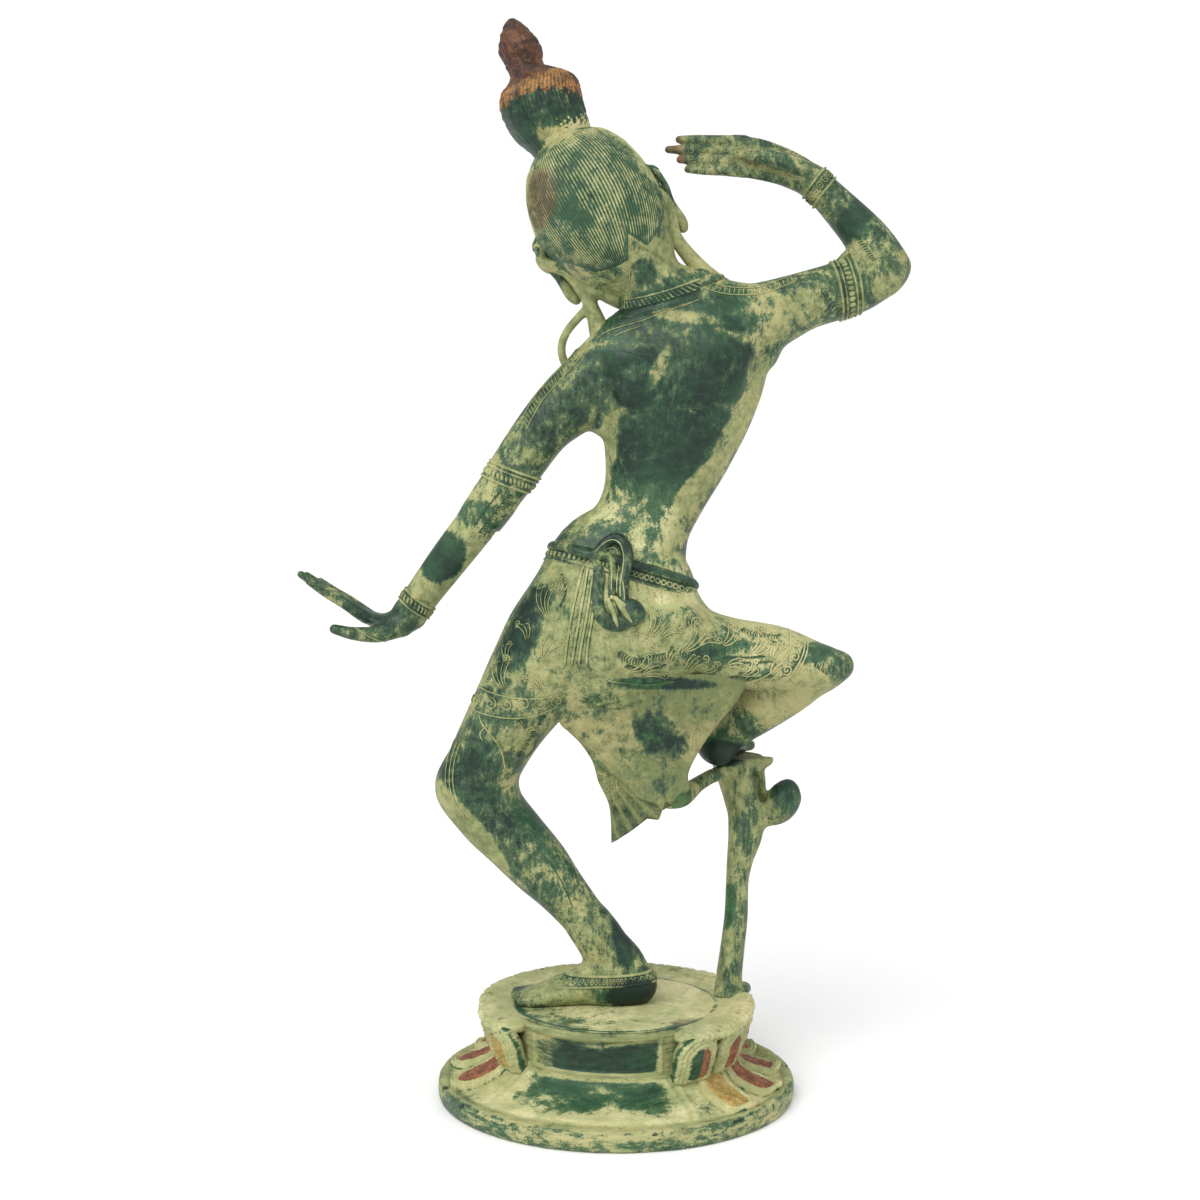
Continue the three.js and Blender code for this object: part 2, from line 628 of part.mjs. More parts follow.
// The lotus that carries the raised foot: stem, pod, a side bud and the short strut to the cloth.
function buildLotus() {

	const stem = skin( [
		[ 63.7, 18, 40, 10.5, 10 ],
		[ 63.9, 19, 58, 8.4, 8.5 ],
		[ 66.8, 22, 77, 7.2, 7.2 ],
		[ 69, 26, 94, 6.9, 6.8 ],
		[ 70, 31, 112, 6.8, 6.8 ],
		[ 72, 35, 125, 8, 7.4 ],
		[ 75.4, 39, 138, 10.2, 9 ],
		[ 77, 43, 152, 11.5, 10 ],
		[ 75.5, 46, 166, 11.5, 11 ]
	] );
	const pod = skin( [
		[ 75.5, 47, 160, 10, 10 ],
		[ 74.5, 51, 171, 15, 17 ],
		[ 73.5, 54, 180, 18, 24 ],
		[ 73.5, 54, 188, 18.5, 25 ]
	], { sides: 14, domeEnd: false } );
	const bud = rod( [ [ 81, 42, 150 ], [ 92, 41, 153.5 ], [ 99.5, 40, 159 ], [ 101.5, 40, 164.5 ] ], [ 7, 9.6, 10.4, 7.6 ] );
	const petalTip = rod( [ [ 82, 46, 179 ], [ 90, 45, 179.5 ] ], [ 6, 4.6 ] );
	const strut = rod( [ [ 70, 46, 171 ], [ 58, 36, 172 ], [ 46, 22, 169.5 ], [ 37.5, 6.5, 165 ] ], [ 5, 4.4, 4.6, 4.8 ], { domeEnd: false } );
	const braze = skin( [ [ 62, 10, 46, 13, 12 ], [ 62, 12, 57, 9, 9 ] ], { sides: 8 } );
	const whole = join( [ stem, pod, bud, petalTip, strut, braze ] );
	const above = new THREE.BoxGeometry( 60, 60, 20 );
	above.translate( 73.5, 54, POD_TOP + 10 );

	return whole
		.subtract( blockBelow( SOLE, [ 70, 30 ], 200 ) )
		.subtract( toSolid( above ) );

}

const bronze = { color: 0x3d6a55, roughness: 0.62, metalness: 0.35 };
const paleBronze = { color: 0x9aa273, roughness: 0.7, metalness: 0.25 };

const plinth = toMesh( 'plinth', buildPlinth(), paleBronze );
const figure = toMesh( 'figure', join( [
	...buildTorso(),
	...buildLeftArm(),
	...buildRightArm(),
	...buildStandingLeg(),
	...buildRaisedLeg(),
	...buildHead(),
	...buildTopknot(),
	...buildOrnaments(),
	...buildSash(),
	...buildCloth()
] ), bronze );
const lotusStem = toMesh( 'lotus_stem', buildLotus(), paleBronze );

const standingGroup = new THREE.Group();
standingGroup.rotation.z = FIGURE_TURN;
standingGroup.add( figure, lotusStem );

const object = new THREE.Group();
object.name = 'dancing_tara_figure';
object.add( plinth, standingGroup );

export default object;
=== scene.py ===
"""A dancing figure, cast in bronze, on a lotus plinth, seen from behind.

The script follows the object as it is put together: the figure's wax, its patina, its cast body, hair,
topknot, jewellery, chased lines, sash, skirt borders and hanging cloth, then the lotus stem, the plinth and
its petals, and last the floor, the lamps and the camera. Shapes are worked out in millimetres in the figure's
own frame, [right, front, up], and moved to the part's frame.
"""

import math

import bpy
import numpy as np
import openvdb
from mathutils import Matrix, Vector


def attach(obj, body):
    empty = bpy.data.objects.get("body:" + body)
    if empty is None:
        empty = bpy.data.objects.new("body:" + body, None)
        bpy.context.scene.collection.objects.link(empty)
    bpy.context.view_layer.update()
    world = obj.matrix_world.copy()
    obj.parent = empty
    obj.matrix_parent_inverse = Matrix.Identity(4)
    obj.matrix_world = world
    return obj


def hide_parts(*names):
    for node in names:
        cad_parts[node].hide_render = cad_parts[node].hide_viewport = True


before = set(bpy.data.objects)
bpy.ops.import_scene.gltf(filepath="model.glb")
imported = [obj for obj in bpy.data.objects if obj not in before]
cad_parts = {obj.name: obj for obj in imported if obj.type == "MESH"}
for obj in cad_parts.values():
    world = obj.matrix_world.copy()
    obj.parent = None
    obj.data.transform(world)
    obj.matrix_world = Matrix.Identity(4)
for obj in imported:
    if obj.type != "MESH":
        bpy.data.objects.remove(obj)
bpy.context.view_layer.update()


# The figure's wax
# One hollow bronze casting is made over a wax: trunk, limbs, head and hands melt into each other. The wax is
# lists of strokes, each a row of elliptical sections carried along a path and pressed into what is there.

# The distance to the wax is worked out within a reach of its skin. A hollow is measured over a width.
FIGURE_TURN = math.radians(192)
REACH = 10.0
HOLLOW_WIDTH, HOLLOW_RANGE = 5.0, (-0.22, 1.2)
HEAD_CENTRE = np.array([-9, 3, 491.0])
HEAD_TILT = math.radians(33.7)


def place(points):
    """The figure's millimetres turned about the upright axis by FIGURE_TURN, and made metres."""
    right, front, up = np.moveaxis(np.asarray(points, float), -1, 0)
    c, s = math.cos(FIGURE_TURN), math.sin(FIGURE_TURN)
    return np.stack([right * c - front * s, right * s + front * c, up], -1) / 1000


def spline(rows, spacing):
    """Smooth curves through the rows: a cubic between two rows whose slope at each row is half the
    difference of its neighbours, cut into steps of about the spacing."""
    rows = np.asarray(rows, float)
    last = len(rows) - 1
    parts = []
    for i in range(last):
        here, after = rows[i], rows[i + 1]
        rise = (after - rows[max(i - 1, 0)]) / 2
        fall = (rows[min(i + 2, last)] - here) / 2
        steps = max(1, math.ceil(np.linalg.norm((after - here)[:3]) / spacing))
        t = (np.arange(steps) / steps)[:, None]
        parts.append(here + rise * t + (3 * (after - here) - 2 * rise - fall) * t**2
                     + (2 * (here - after) + rise + fall) * t**3)
    return np.vstack([*parts, rows[-1:]])


def unit(v):
    """A vector, or an array of them, divided by its length."""
    v = np.asarray(v, float)
    return v / np.linalg.norm(v, axis=-1, keepdims=True)


trunk, left_arm, left_hand, right_arm, right_hand, legs, head, hangings = ([] for _ in range(8))


def stroke(wax, rows, melt=3.0, depth=(0, 1, 0), heading=None, cut=False, spacing=3.0):
    """Adds one stroke to a list of wax. A row is [right, front, up, half width, half depth]; the depth axis
    says which way the second girth lies, and a heading keeps all the sections parallel."""
    rows = np.asarray(rows, float)
    if rows.shape[1] == 4:
        rows = np.hstack([rows, rows[:, 3:4]])
    wax.append((spline(rows, spacing), melt, unit(depth), None if heading is None else unit(heading), cut))


def limb(wax, start, end, girths, **how):
    """A stroke between two joints. A girth is [share of the way, half width, half depth, bow], and the bow
    moves the section sideways from the straight line."""
    start, end = np.array(start, float), np.array(end, float)
    outward = unit(np.cross([0, 1, 0], end - start))
    stroke(wax, [[*(start + (end - start) * share + outward * bow), width, deep] for share, width, deep,
                 bow in girths], **how)


def tilted(rows):
    """Rows drawn round an upright head, leaned to the left about the front axis and moved to its place."""
    rows = np.array(rows, float)
    c, s = math.cos(HEAD_TILT), math.sin(HEAD_TILT)
    right, up = rows[:, 0].copy(), rows[:, 2].copy()
    rows[:, 0], rows[:, 2] = right * c - up * s, right * s + up * c
    rows[:, :3] += HEAD_CENTRE
    return rows


head_up = (-math.sin(HEAD_TILT), 0, math.cos(HEAD_TILT))

# Trunk, hips and neck
stroke(trunk, [[-8, 0, 236, 34, 23], [-5, -1, 252, 44, 28], [-2, 1, 262, 47, 29], [0, 0, 280, 45.5, 28],
               [2.8, 0, 295, 41, 26], [9.4, 2, 308.6, 31.4, 22], [15.6, 3, 323, 27.2, 19],
               [22.6, 3, 341, 29.4, 20], [29, 3, 364, 36.4, 23], [34.5, 3, 392, 44.4, 25],
               [37, 3, 415, 47.5, 23], [32, 2, 433, 41, 18], [25, 1, 442, 25, 15]])
stroke(trunk, [[28, 1, 438, 22, 16], [22, 0, 451, 17.4, 16], [15, 0, 464, 16.5, 16], [5, 1, 478, 18, 18]],
       melt=7)
for right in (15, 53):
    stroke(trunk, [[right, 12, 398, 15, 16], [right + 1, 22, 396, 10, 10]], depth=(0, 0, 1), melt=7)
stroke(trunk, [[-6, -26, 268, 20, 8], [-8, -25, 250, 18, 7]], melt=9)
stroke(trunk, [[24, -25, 268, 20, 8], [26, -24, 252, 18, 7]], melt=9)
stroke(trunk, [[33, -31, 392, 1, 3], [22, -28, 356, 2, 4], [13.5, -26, 330, 2.4, 7],
               [11.5, -28, 306, 2, 6.5]], melt=7, cut=True)
for right, up in ((12, 398), (60, 402)):
    stroke(trunk, [[right, -17, up + 12, 13, 5], [right - 2, -17.5, up - 8, 10, 4.5]], melt=7)

# Lowered arm
limb(left_arm, (-1, 2, 407), (-73, 7, 326), [
    (-0.12, 22, 18, -1), (0.1, 20, 16.5, 3), (0.3, 18, 15, 6), (0.48, 15.4, 14, 7.3), (0.75, 14.2, 13, 4.2),
    (1, 11.8, 11.6, 0.8)], melt=9)
stroke(left_arm, [[-4, 4, 384, 7, 12], [-8, 4, 375, 3, 9]], melt=9)
limb(left_arm, (-73, 7, 326), (-117, 15, 270), [
    (-0.1, 11.6, 11.4, 1), (0.2, 11.6, 11.4, 1), (0.5, 11, 10.6, 1), (0.8, 10, 9.4, 0.6), (1, 9.6, 8.8, 0)],
    melt=5)
stroke(left_arm, [[-117, 15, 269, 9.2, 8.5], [-124, 16, 264.5, 7.8, 10], [-134, 18, 264.5, 5, 12],
                  [-147, 20, 270, 3.4, 12]], melt=3, spacing=2)
for front, length, lift in ((10.6, 32, 0.59), (16.8, 38.5, 0.59), (23, 36.5, 0.6), (29.2, 30, 0.61)):
    lean = (front - 20) / 6.2
    rows = [[-142, front, 267.6, 3.5]]
    for share, spread, rise, girth in ((0.35, 1, 0.2, 3.2), (0.62, 1.6, 0.36, 2.9)):
        rows.append([-143 - length * share, front + spread * lean, 269.6 + length * rise, girth])
    rows.append([-143 - length * 0.94, front + 2.4 * lean, 269 + length * lift, 2.1])
    stroke(left_hand, rows, melt=1.6, spacing=1.5)
stroke(left_hand, [[-121, 11, 262, 5.6], [-134, 5, 258.4, 4.8], [-147, 2, 258.8, 3.8],
                   [-158, 1, 261.4, 2.8]], melt=3, spacing=1.5)

# Raised arm
limb(right_arm, (68, 3, 428), (148, 13, 463), [
    (-0.2, 25.4, 19, -1.6), (0.05, 22.2, 17.5, -1.2), (0.25, 18.8, 16, -1), (0.48, 16.2, 14.5, -0.5),
    (0.7, 16, 14, 1.6), (0.85, 16.2, 13.6, 1.8), (0.98, 16.4, 13, -1)], melt=9)
stroke(right_arm, [[84, 4, 418, 6, 10], [85.5, 5, 413, 2.4, 7]], melt=9)
limb(right_arm, (148, 13, 463), (111, 15, 512), [
    (-0.02, 16.6, 13.2, 1.2), (0.16, 14.2, 13, 4), (0.36, 12.2, 12, 5), (0.7, 10.2, 10.5, 3),
    (1, 8.8, 8.6, 0.5)],
    melt=5)
stroke(right_arm, [[111, 15, 512, 8.6, 8.5], [104, 16, 516.5, 9.6, 7], [94, 17.5, 521.5, 10.4, 5.5],
                   [80, 18, 525.8, 11.4, 4.6], [66, 18, 527.8, 11.4, 4]], melt=3, spacing=2)
for lift, tip in ((8.4, (35.5, 536.6)), (2.8, (29.5, 531)), (-2.8, (36, 525.4)), (-8.2, (40.5, 520))):
    root = np.array([72, 18, 527.4 + lift])
    end = np.array([tip[0], 17.6, tip[1]])
    knuckle, joint = root * 0.55 + end * 0.45, root * 0.25 + end * 0.75
    stroke(right_hand, [[*root, 3.3], [*knuckle, 3.0], [*joint, 2.8], [*end, 2.1]], melt=1.4, spacing=1.5)
stroke(right_hand, [[106, 10, 518, 5], [94, 8, 522.4, 4.8], [82, 9, 525.4, 4], [71, 11, 527, 2.8]], melt=1.6,
       spacing=2)

# Standing leg and its foot, which points to the left
limb(legs, (-14, 0, 262), (-79, 12, 171), [
    (-0.1, 34, 28, 1), (0.1, 35, 28, 7), (0.3, 29, 27, 9.6), (0.6, 23.4, 25, 8.3), (0.85, 21.3, 23, 4.8),
    (1, 21.4, 21.5, 0)], melt=9)
limb(legs, (-79, 12, 171), (-12, 0, 87), [
    (-0.02, 21.4, 20.5, 1), (0.15, 20.2, 20, 3), (0.34, 18.6, 19.5, 1.4), (0.52, 17.2, 18, -0.3),
    (0.67, 14.6, 15.5, -1.3), (0.83, 12.8, 13, -2), (1, 12, 11.5, -2)], melt=6)
stroke(legs, [[-13, 0, 92, 12, 11.5], [-6, 0, 81, 14, 11.5], [-1, 0, 70, 18, 12], [2, 0, 58, 19, 12]],
       melt=5)
stroke(legs, [[12, 0, 60, 11, 11], [-8, 0, 61, 12, 12.5], [-24, 0, 58, 9.5, 13], [-40, 0, 54.5, 7, 14],
              [-48, 0, 53, 5, 13.5]], melt=5)
for i in range(5):
    front = -10.5 + 5.3 * i
    stroke(legs, [[-42, front, 54, 4], [-58 + 1.4 * abs(i - 3.4), front, 53, 2.7]], melt=1.6, spacing=2)

# Raised leg, its shin folded back and forward, and its foot, which points to the front
limb(legs, (18, 0, 254), (116, 1, 241), [
    (-0.15, 37, 30, 4), (0.08, 28.5, 29, -3), (0.26, 20.8, 27, -2.8), (0.45, 19.4, 25, -0.7),
    (0.72, 18.4, 22, -0.4),
    (0.92, 15, 18, 1.6), (1, 13, 15.5, 1.6), (1.09, 8.6, 11, -1)], melt=9)
limb(legs, (116, 1, 241), (57, 34, 192), [
    (0.04, 11, 12.5, 0), (0.22, 15.2, 16.5, 1.5), (0.48, 16, 17, 3), (0.75, 13.5, 14, 2.5), (1, 9.6, 10, 0)],
    melt=5)
stroke(legs, [[60, 30, 191, 10, 9], [62, 42, 190, 10, 8], [66, 58, 187.5, 10.5, 5.6],
              [70, 72, 186, 11.5, 4.5], [73, 80, 185.5, 11.5, 4]], depth=(0, 0, 1), melt=5)
stroke(legs, [[57, 33, 198, 9.5, 9.5], [60.5, 33, 189, 8.6, 9]], melt=4)
for i in range(5):
    right = 65 + 4.6 * i
    stroke(legs, [[right - 1.5, 72, 186.2, 3], [right, 86 - 1.3 * abs(i - 0.8), 186, 2.5]], melt=1.4,
           spacing=2)


def feature(rows, spacing=1.5, **how):
    """A stroke of the head, drawn round an upright one."""
    stroke(head, tilted(rows), spacing=spacing, **how)


# Head and face
feature([[0, 24, -47, 9, 8], [0, 20, -41, 17, 15], [0, 11, -30, 25, 27], [0, 5, -15, 32, 36],
         [0, 2, 0, 36, 40], [1, 0, 10, 35.2, 38.6], [2, -2, 17, 32.6, 35]], heading=head_up, melt=7,
        spacing=3)
for side in (-1, 1):
    feature([[side * 18, 24, -18, 12], [side * 17, 25, -24, 10]], melt=8, spacing=3)
    feature([[side * 8, 43, -6, 5], [side * 19, 38, -6, 4.6]], melt=5, cut=True)
    feature([[side * 10, 35, -7, 5.4], [side * 17, 33, -7, 4.8]], melt=1.5)
    feature([[side * 6.5, 40.2, -7.6, 0.9], [side * 13, 41.6, -4.4, 1.3], [side * 21.5, 36, -7, 0.9]],
            melt=1)
    feature([[side * 7.5, 40, -9, 0.7], [side * 13.5, 40.4, -10.6, 1], [side * 20, 36.4, -8.8, 0.7]], melt=1)
    feature([[side * 4, 42.6, 1.4, 1.5], [side * 13, 41.4, 5.2, 1.7], [side * 25, 34.4, 1.6, 1.2]], melt=3)
    feature([[side * 4.4, 42.8, -20.4, 3], [side * 4.6, 41.6, -21, 2.8]], melt=2)
    feature([[side * 36, 4, 8, 2.4], [side * 39.5, 1, 4, 2], [side * 39.6, 0, -6, 2],
             [side * 37.6, 4, -15, 2.4], [side * 37, 6, -26, 3.4], [side * 36, 7, -30, 3]], melt=2)
    feature([[side * 36.4, 8, 5, 2.2], [side * 37, 8.6, -4, 2], [side * 36.6, 7.6, -14, 2.4]], melt=2)
feature([[0, 41.5, 3, 3], [0, 45, -8, 3], [0, 47.6, -17, 3.8], [0, 46.6, -19.4, 3.8]], melt=3)
feature([[-9.4, 38.4, -30, 1], [-4, 41.2, -28.8, 2.1], [0, 41.6, -29.6, 1.9], [4, 41.2, -28.8, 2.1],
         [9.4, 38.4, -30, 1]], melt=1.4, spacing=1.2)
feature([[-7.6, 38.8, -31.6, 1.2], [0, 40.4, -33.8, 2.6], [7.6, 38.8, -31.6, 1.2]], melt=1.4, spacing=1.2)
feature([[-10, 40.4, -30.2, 0.6], [0, 44, -31.4, 0.7], [10, 40.4, -30.2, 0.6]], melt=0.8, cut=True,
        spacing=1.2)
feature([[0, 33, -42, 6.6], [0, 32, -44, 6]], melt=6, spacing=3)
feature([[0, 42.6, 8.4, 1.5], [0, 42.4, 8.2, 1.4]], melt=1, spacing=3)

# What hangs at the head's sides: on the left an ear curl, a hanger and a hoop, on the right a ribbon
stroke(hangings, [[-25, 6, 467, 6, 8], [-36, 6, 464, 4.4, 6], [-41.6, 6, 467.6, 3.4, 5],
                  [-41, 6, 473.6, 2.4, 4]], melt=3, spacing=1.5)
stroke(hangings, [[-28, 5, 464, 5, 7], [-19.6, 5, 452.4, 4, 6], [-13.6, 4, 441, 4, 6], [-9, 3, 427, 6, 7]],
       melt=4, spacing=1.5)
stroke(hangings, [[-16, 5, 440.4, 2.6], [-22, 5, 434.4, 2.4], [-27.6, 5, 427.4, 2.3], [-30.4, 5, 419.6, 2.3],
                  [-29.2, 5, 411.6, 2.4], [-23.4, 4, 404.6, 3.2]], melt=2, spacing=1.5)
stroke(hangings, [[-17, 3, 452, 5, 6], [-8, 2, 448.6, 3.6, 6], [2, 2, 444, 4, 7]], melt=3, spacing=1.5)
stroke(hangings, [[20, 4, 505.6, 3], [25.4, 4, 502.4, 3.4], [29.8, 4, 493.4, 3.7], [33, 4, 480, 3.8],
                  [41.4, 4, 468.4, 4.4], [51, 3, 458, 5.4], [60, 3, 451, 6]], melt=2.6, spacing=1.5)


def near_distance(window, row_a, row_b, depth, heading):
    """Distance to a tapering elliptical rod. With k0 the length of the offset over the girths, and k1 that
    of the offset over their squares, the distance is close to k0 (k0 - 1) / k1."""
    a, b = row_a[:3], row_b[:3]
    line = b - a
    along = unit(line) if heading is None else heading
    across = unit(np.cross(depth, along))
    through = np.cross(along, across)
    offset = [axis - start for axis, start in zip(window, a)]
    t = np.clip(sum(o * k for o, k in zip(offset, along)) / (line @ along), 0, 1)
    wide = row_a[3] + (row_b[3] - row_a[3]) * t
    deep = row_a[4] + (row_b[4] - row_a[4]) * t
    offset = [o - k * t for o, k in zip(offset, line)]
    parts = [(sum(o * k for o, k in zip(offset, axis)), girth)
             for axis, girth in ((across, wide), (through, deep), (along, np.minimum(wide, deep)))]
    k0 = np.sqrt(sum((p / g) ** 2 for p, g in parts)) + 1e-4
    k1 = np.sqrt(sum((p / (g * g)) ** 2 for p, g in parts)) + 1e-5
    return k0 * (k0 - 1) / k1


def window_of(low, voxel, shape, box_low, box_high):
    """The slices of a block of wax that a box reaches, and the coordinates along its three axes."""
    first = np.clip(np.floor((box_low - low) / voxel), 0, shape).astype(int)
    last = np.clip(np.ceil((box_high - low) / voxel) + 1, 0, shape).astype(int)
    if (last <= first).any():
        return None, None
    axes = [low[k] + voxel * np.arange(first[k], last[k]) for k in range(3)]
    return tuple(slice(f, e) for f, e in zip(first, last)), np.ix_(*axes)


def melted(a, b, melt):
    """The smaller of two distances, rounded where they are within the melt of each other."""
    h = np.clip(0.5 + 0.5 * (b - a) / melt, 0, 1)
    return b + (a - b) * h - melt * h * (1 - h)


def softened(block, passes):
    """Each pass averages a cell with its two neighbours along each axis, as 1, 2, 1 parts of four."""
    for _ in range(passes):
        for axis in range(3):
            padded = np.concatenate([np.take(block, [0], axis), block, np.take(block, [-1], axis)], axis)
            size = block.shape[axis]
            low, mid, high = (np.take(padded, range(k, k + size), axis) for k in range(3))
            block = (low + 2 * mid + high) / 4
    return block


def sampled(block, cells):
    """Values of a block at points given in cells, mixed from the eight cells round each point."""
    base = np.clip(np.floor(cells).astype(int), 0, np.array(block.shape) - 2)
    share = np.clip(cells - base, 0, 1)
    total = 0
    for corner in np.ndindex(2, 2, 2):
        weight = np.prod(np.where(corner, share, 1 - share), axis=1)
        total = total + weight * block[tuple((base + corner).T)]
    return total


# Places on the figure where the finish differs from the rest; a few of them are painted shade or a painted
# sheen. Each has the finish that it adds to, its middle, how far it reaches to the right, to the front and
# up, its lean from upright in degrees, and its strength.
PLACES = [
    # The back is dark, with pale edges down both flanks, and a lighter hazy green low on it that is a painted
    # sheen
    ("wash", (28, -16, 396), (47, 30, 66), 16, -0.27), ("wash", (60, -4, 428), (26, 20, 14), -8, -0.05),
    ("wash", (-9, 0, 352), (8, 20, 44), 14, 0.3), ("wash", (64, -4, 372), (7, 16, 44), 30, 0.34),
    # The wash at (12, -16, 316) and the tone at (10, -18, 322) make the low back a lighter, hazier green: a
    # painted sheen.
    ("wash", (12, -16, 316), (30, 22, 12), 0, -0.03), ("wash", (44, -14, 340), (7, 14, 19), 38, 0.36),
    ("wash", (23, -20, 405), (4, 12, 15), 26, 0.22), ("wash", (40, -14, 433), (20, 12, 4), 8, 0.2),
    ("wash", (90, -8, 430), (5, 10, 5), 0, 0.5), ("wash", (5, -14, 421), (12, 12, 10), 20, 0.1),
    ("wash", (-34, -10, 376), (26, 20, 20), 40, -0.1), ("tone", (10, -18, 322), (26, 24, 20), 0, 0.2),
    ("tone", (24, -18, 380), (30, 14, 50), 24, -0.05),
    # The skirt is mostly cream, with dark patches on both thighs
    ("wash", (10, -10, 262), (64, 44, 40), 0, 0.06), ("wash", (90, -8, 258), (32, 30, 16), -12, 0.16),
    ("tone", (90, -8, 254), (36, 30, 22), -12, 0.14), ("wash", (-50, -10, 262), (11, 30, 30), 28, -0.24),
    ("wash", (-28, -20, 290), (12, 20, 8), 0, 0.2), ("wash", (22, -24, 280), (18, 20, 10), 0, 0.2),
    ("wash", (44, -14, 252), (46, 16, 11), -6, -0.16), ("wash", (14, -20, 246), (26, 14, 9), 0, -0.12),
    ("wash", (110, -6, 250), (14, 24, 6), -28, -0.2), ("wash", (28, -26, 233), (34, 14, 4), 3, -0.34),
    ("wash", (102, 0, 234), (30, 20, 15), 26, 0.26), ("wash", (-56, -12, 244), (12, 20, 10), 0, 0.1),
    ("tone", (20, -20, 288), (44, 40, 16), 0, 0.14), ("tone", (0, -20, 262), (50, 40, 20), 0, 0.03),
    ("wash", (52, 50, 213), (17, 58, 13), -20, 0.55),
    # The standing leg has a dark shin with a cream edge on the left, and a cream calf above the ankle
    ("wash", (-88, 0, 190), (14, 30, 22), 20, -0.08), ("wash", (-60, -8, 168), (24, 24, 34), -45, -0.16),
    ("wash", (-82, 0, 150), (8, 20, 34), -40, 0.42), ("wash", (-20, -4, 92), (18, 22, 20), -30, 0.1),
    ("wash", (3, -2, 84), (5, 14, 16), -20, -0.3), ("wash", (-66, -10, 212), (14, 18, 12), 0, 0.02),
    ("wash", (8, -2, 58), (16, 16, 10), 0, -0.6), ("tone", (8, -2, 58), (16, 16, 10), 0, -0.4),
    ("wash", (-30, 0, 57), (22, 20, 8), 0, 0.25),
    # The raised leg's shin is cream under the knee, and its foot, which lies under the raised thigh and shin,
    # is darkened as painted shade
    ("wash", (92, 10, 222), (40, 34, 16), 30, 0.16), ("wash", (62, 40, 188), (15, 40, 9), 0, -0.6),
    ("tone", (62, 40, 188), (15, 40, 9), 0, -0.4),
    # The arms, with a dark oval on the lowered one and warm fingertips on the raised hand
    ("wash", (-70, 8, 350), (46, 30, 60), 40, 0.05), ("tone", (-76, 8, 340), (40, 30, 50), 40, 0.06),
    ("wash", (-96, 6, 302), (12, 16, 17), 38, -0.62), ("wash", (-96, 8, 300), (19, 16, 27), 38, 0.3),
    ("wash", (-36, 4, 366), (18, 20, 20), 40, 0.02), ("wash", (-140, 18, 270), (26, 18, 14), 0, -0.1),
    ("wash", (134, 10, 492), (8, 14, 22), 38, -0.24), ("wash", (146, 12, 470), (12, 16, 16), 0, 0.05),
    ("wash", (100, -2, 440), (16, 16, 10), 0, 0.12), ("wash", (150, 8, 452), (10, 14, 8), 0, 0.18),
    ("warm", (33, 17, 530), (6, 8, 14), 0, 0.55), ("warm", (38, 17, 522), (5, 8, 6), 0, 0.3),
    # The topknot's pale foot, the neck, the pieces at the head's sides, and the paler face and chest
    ("wash", (-26, 0, 526), (24, 30, 9), 33, 0.45), ("wash", (18, -6, 462), (20, 24, 18), 0, 0.1),
    ("wash", (14, -14, 458), (9, 12, 8), 0, -0.22), ("wash", (-30, 4, 466), (12, 14, 12), 0, -0.08),
    ("wash", (-20, 4, 436), (16, 14, 24), 0, 0.18), ("wash", (36, 4, 470), (14, 12, 34), 20, 0.16),
    ("wash", (0, 36, 480), (46, 24, 40), 33, 0.26), ("wash", (26, 46, 402), (50, 26, 34), 0, 0.24),
    ("warm", (-40, -14, 498), (16, 22, 20), 33, 0.5), ("warm", (42, -10, 441), (4, 6, 3), 0, 0.8),
    # Brighter green paint on the stem, its bud and its strut, on the hanging cloth and in the crease over it
    ("paint", (65, 24, 99), (5, 12, 15), 8, 0.8), ("paint", (102, 40, 162), (12, 16, 12), 0, 0.25),
    ("wash", (102, 40, 162), (12, 16, 12), 0, -0.3), ("paint", (36, 2, 166), (9, 12, 8), 0, 0.8),
    ("paint", (22, -8, 207), (11, 20, 9), -30, 0.4), ("wash", (22, -8, 206), (13, 20, 13), -30, -0.26),
    ("wash", (34, -8, 196), (7, 20, 7), 0, -0.2), ("wash", (50, -4, 200), (9, 20, 20), -28, -0.14),
    ("paint", (17, -26, 233), (20, 14, 4), 3, 0.5), ("paint", (-70, -14, 205), (14, 20, 14), 30, 0.22),
    ("paint", (70, -16, 256), (30, 14, 8), -10, 0.25), ("wash", (2, -6, 152), (16, 12, 12), 0, -0.16),
    ("paint", (60, 0, 426), (20, 20, 14), -10, 0.2), ("paint", (22, -14, 424), (20, 12, 10), 0, 0.2)]


def finish_at(points, kind):
    """How strongly the places of one kind act at points: each is full inside seven tenths of its reach and
    fades out smoothly at twelve tenths."""
    total = np.zeros(len(points))
    for place_kind, middle, reach, lean, strength in PLACES:
        if place_kind != kind:
            continue
        right, front, up = (points - middle).T
        c, s = math.cos(math.radians(lean)), math.sin(math.radians(lean))
        offset = np.stack([right * c - up * s, front, right * s + up * c], -1) / reach
        share = np.clip((1.2 - np.linalg.norm(offset, axis=1)) / 0.5, 0, 1)
        total += strength * share * share * (3 - 2 * share)
    return total


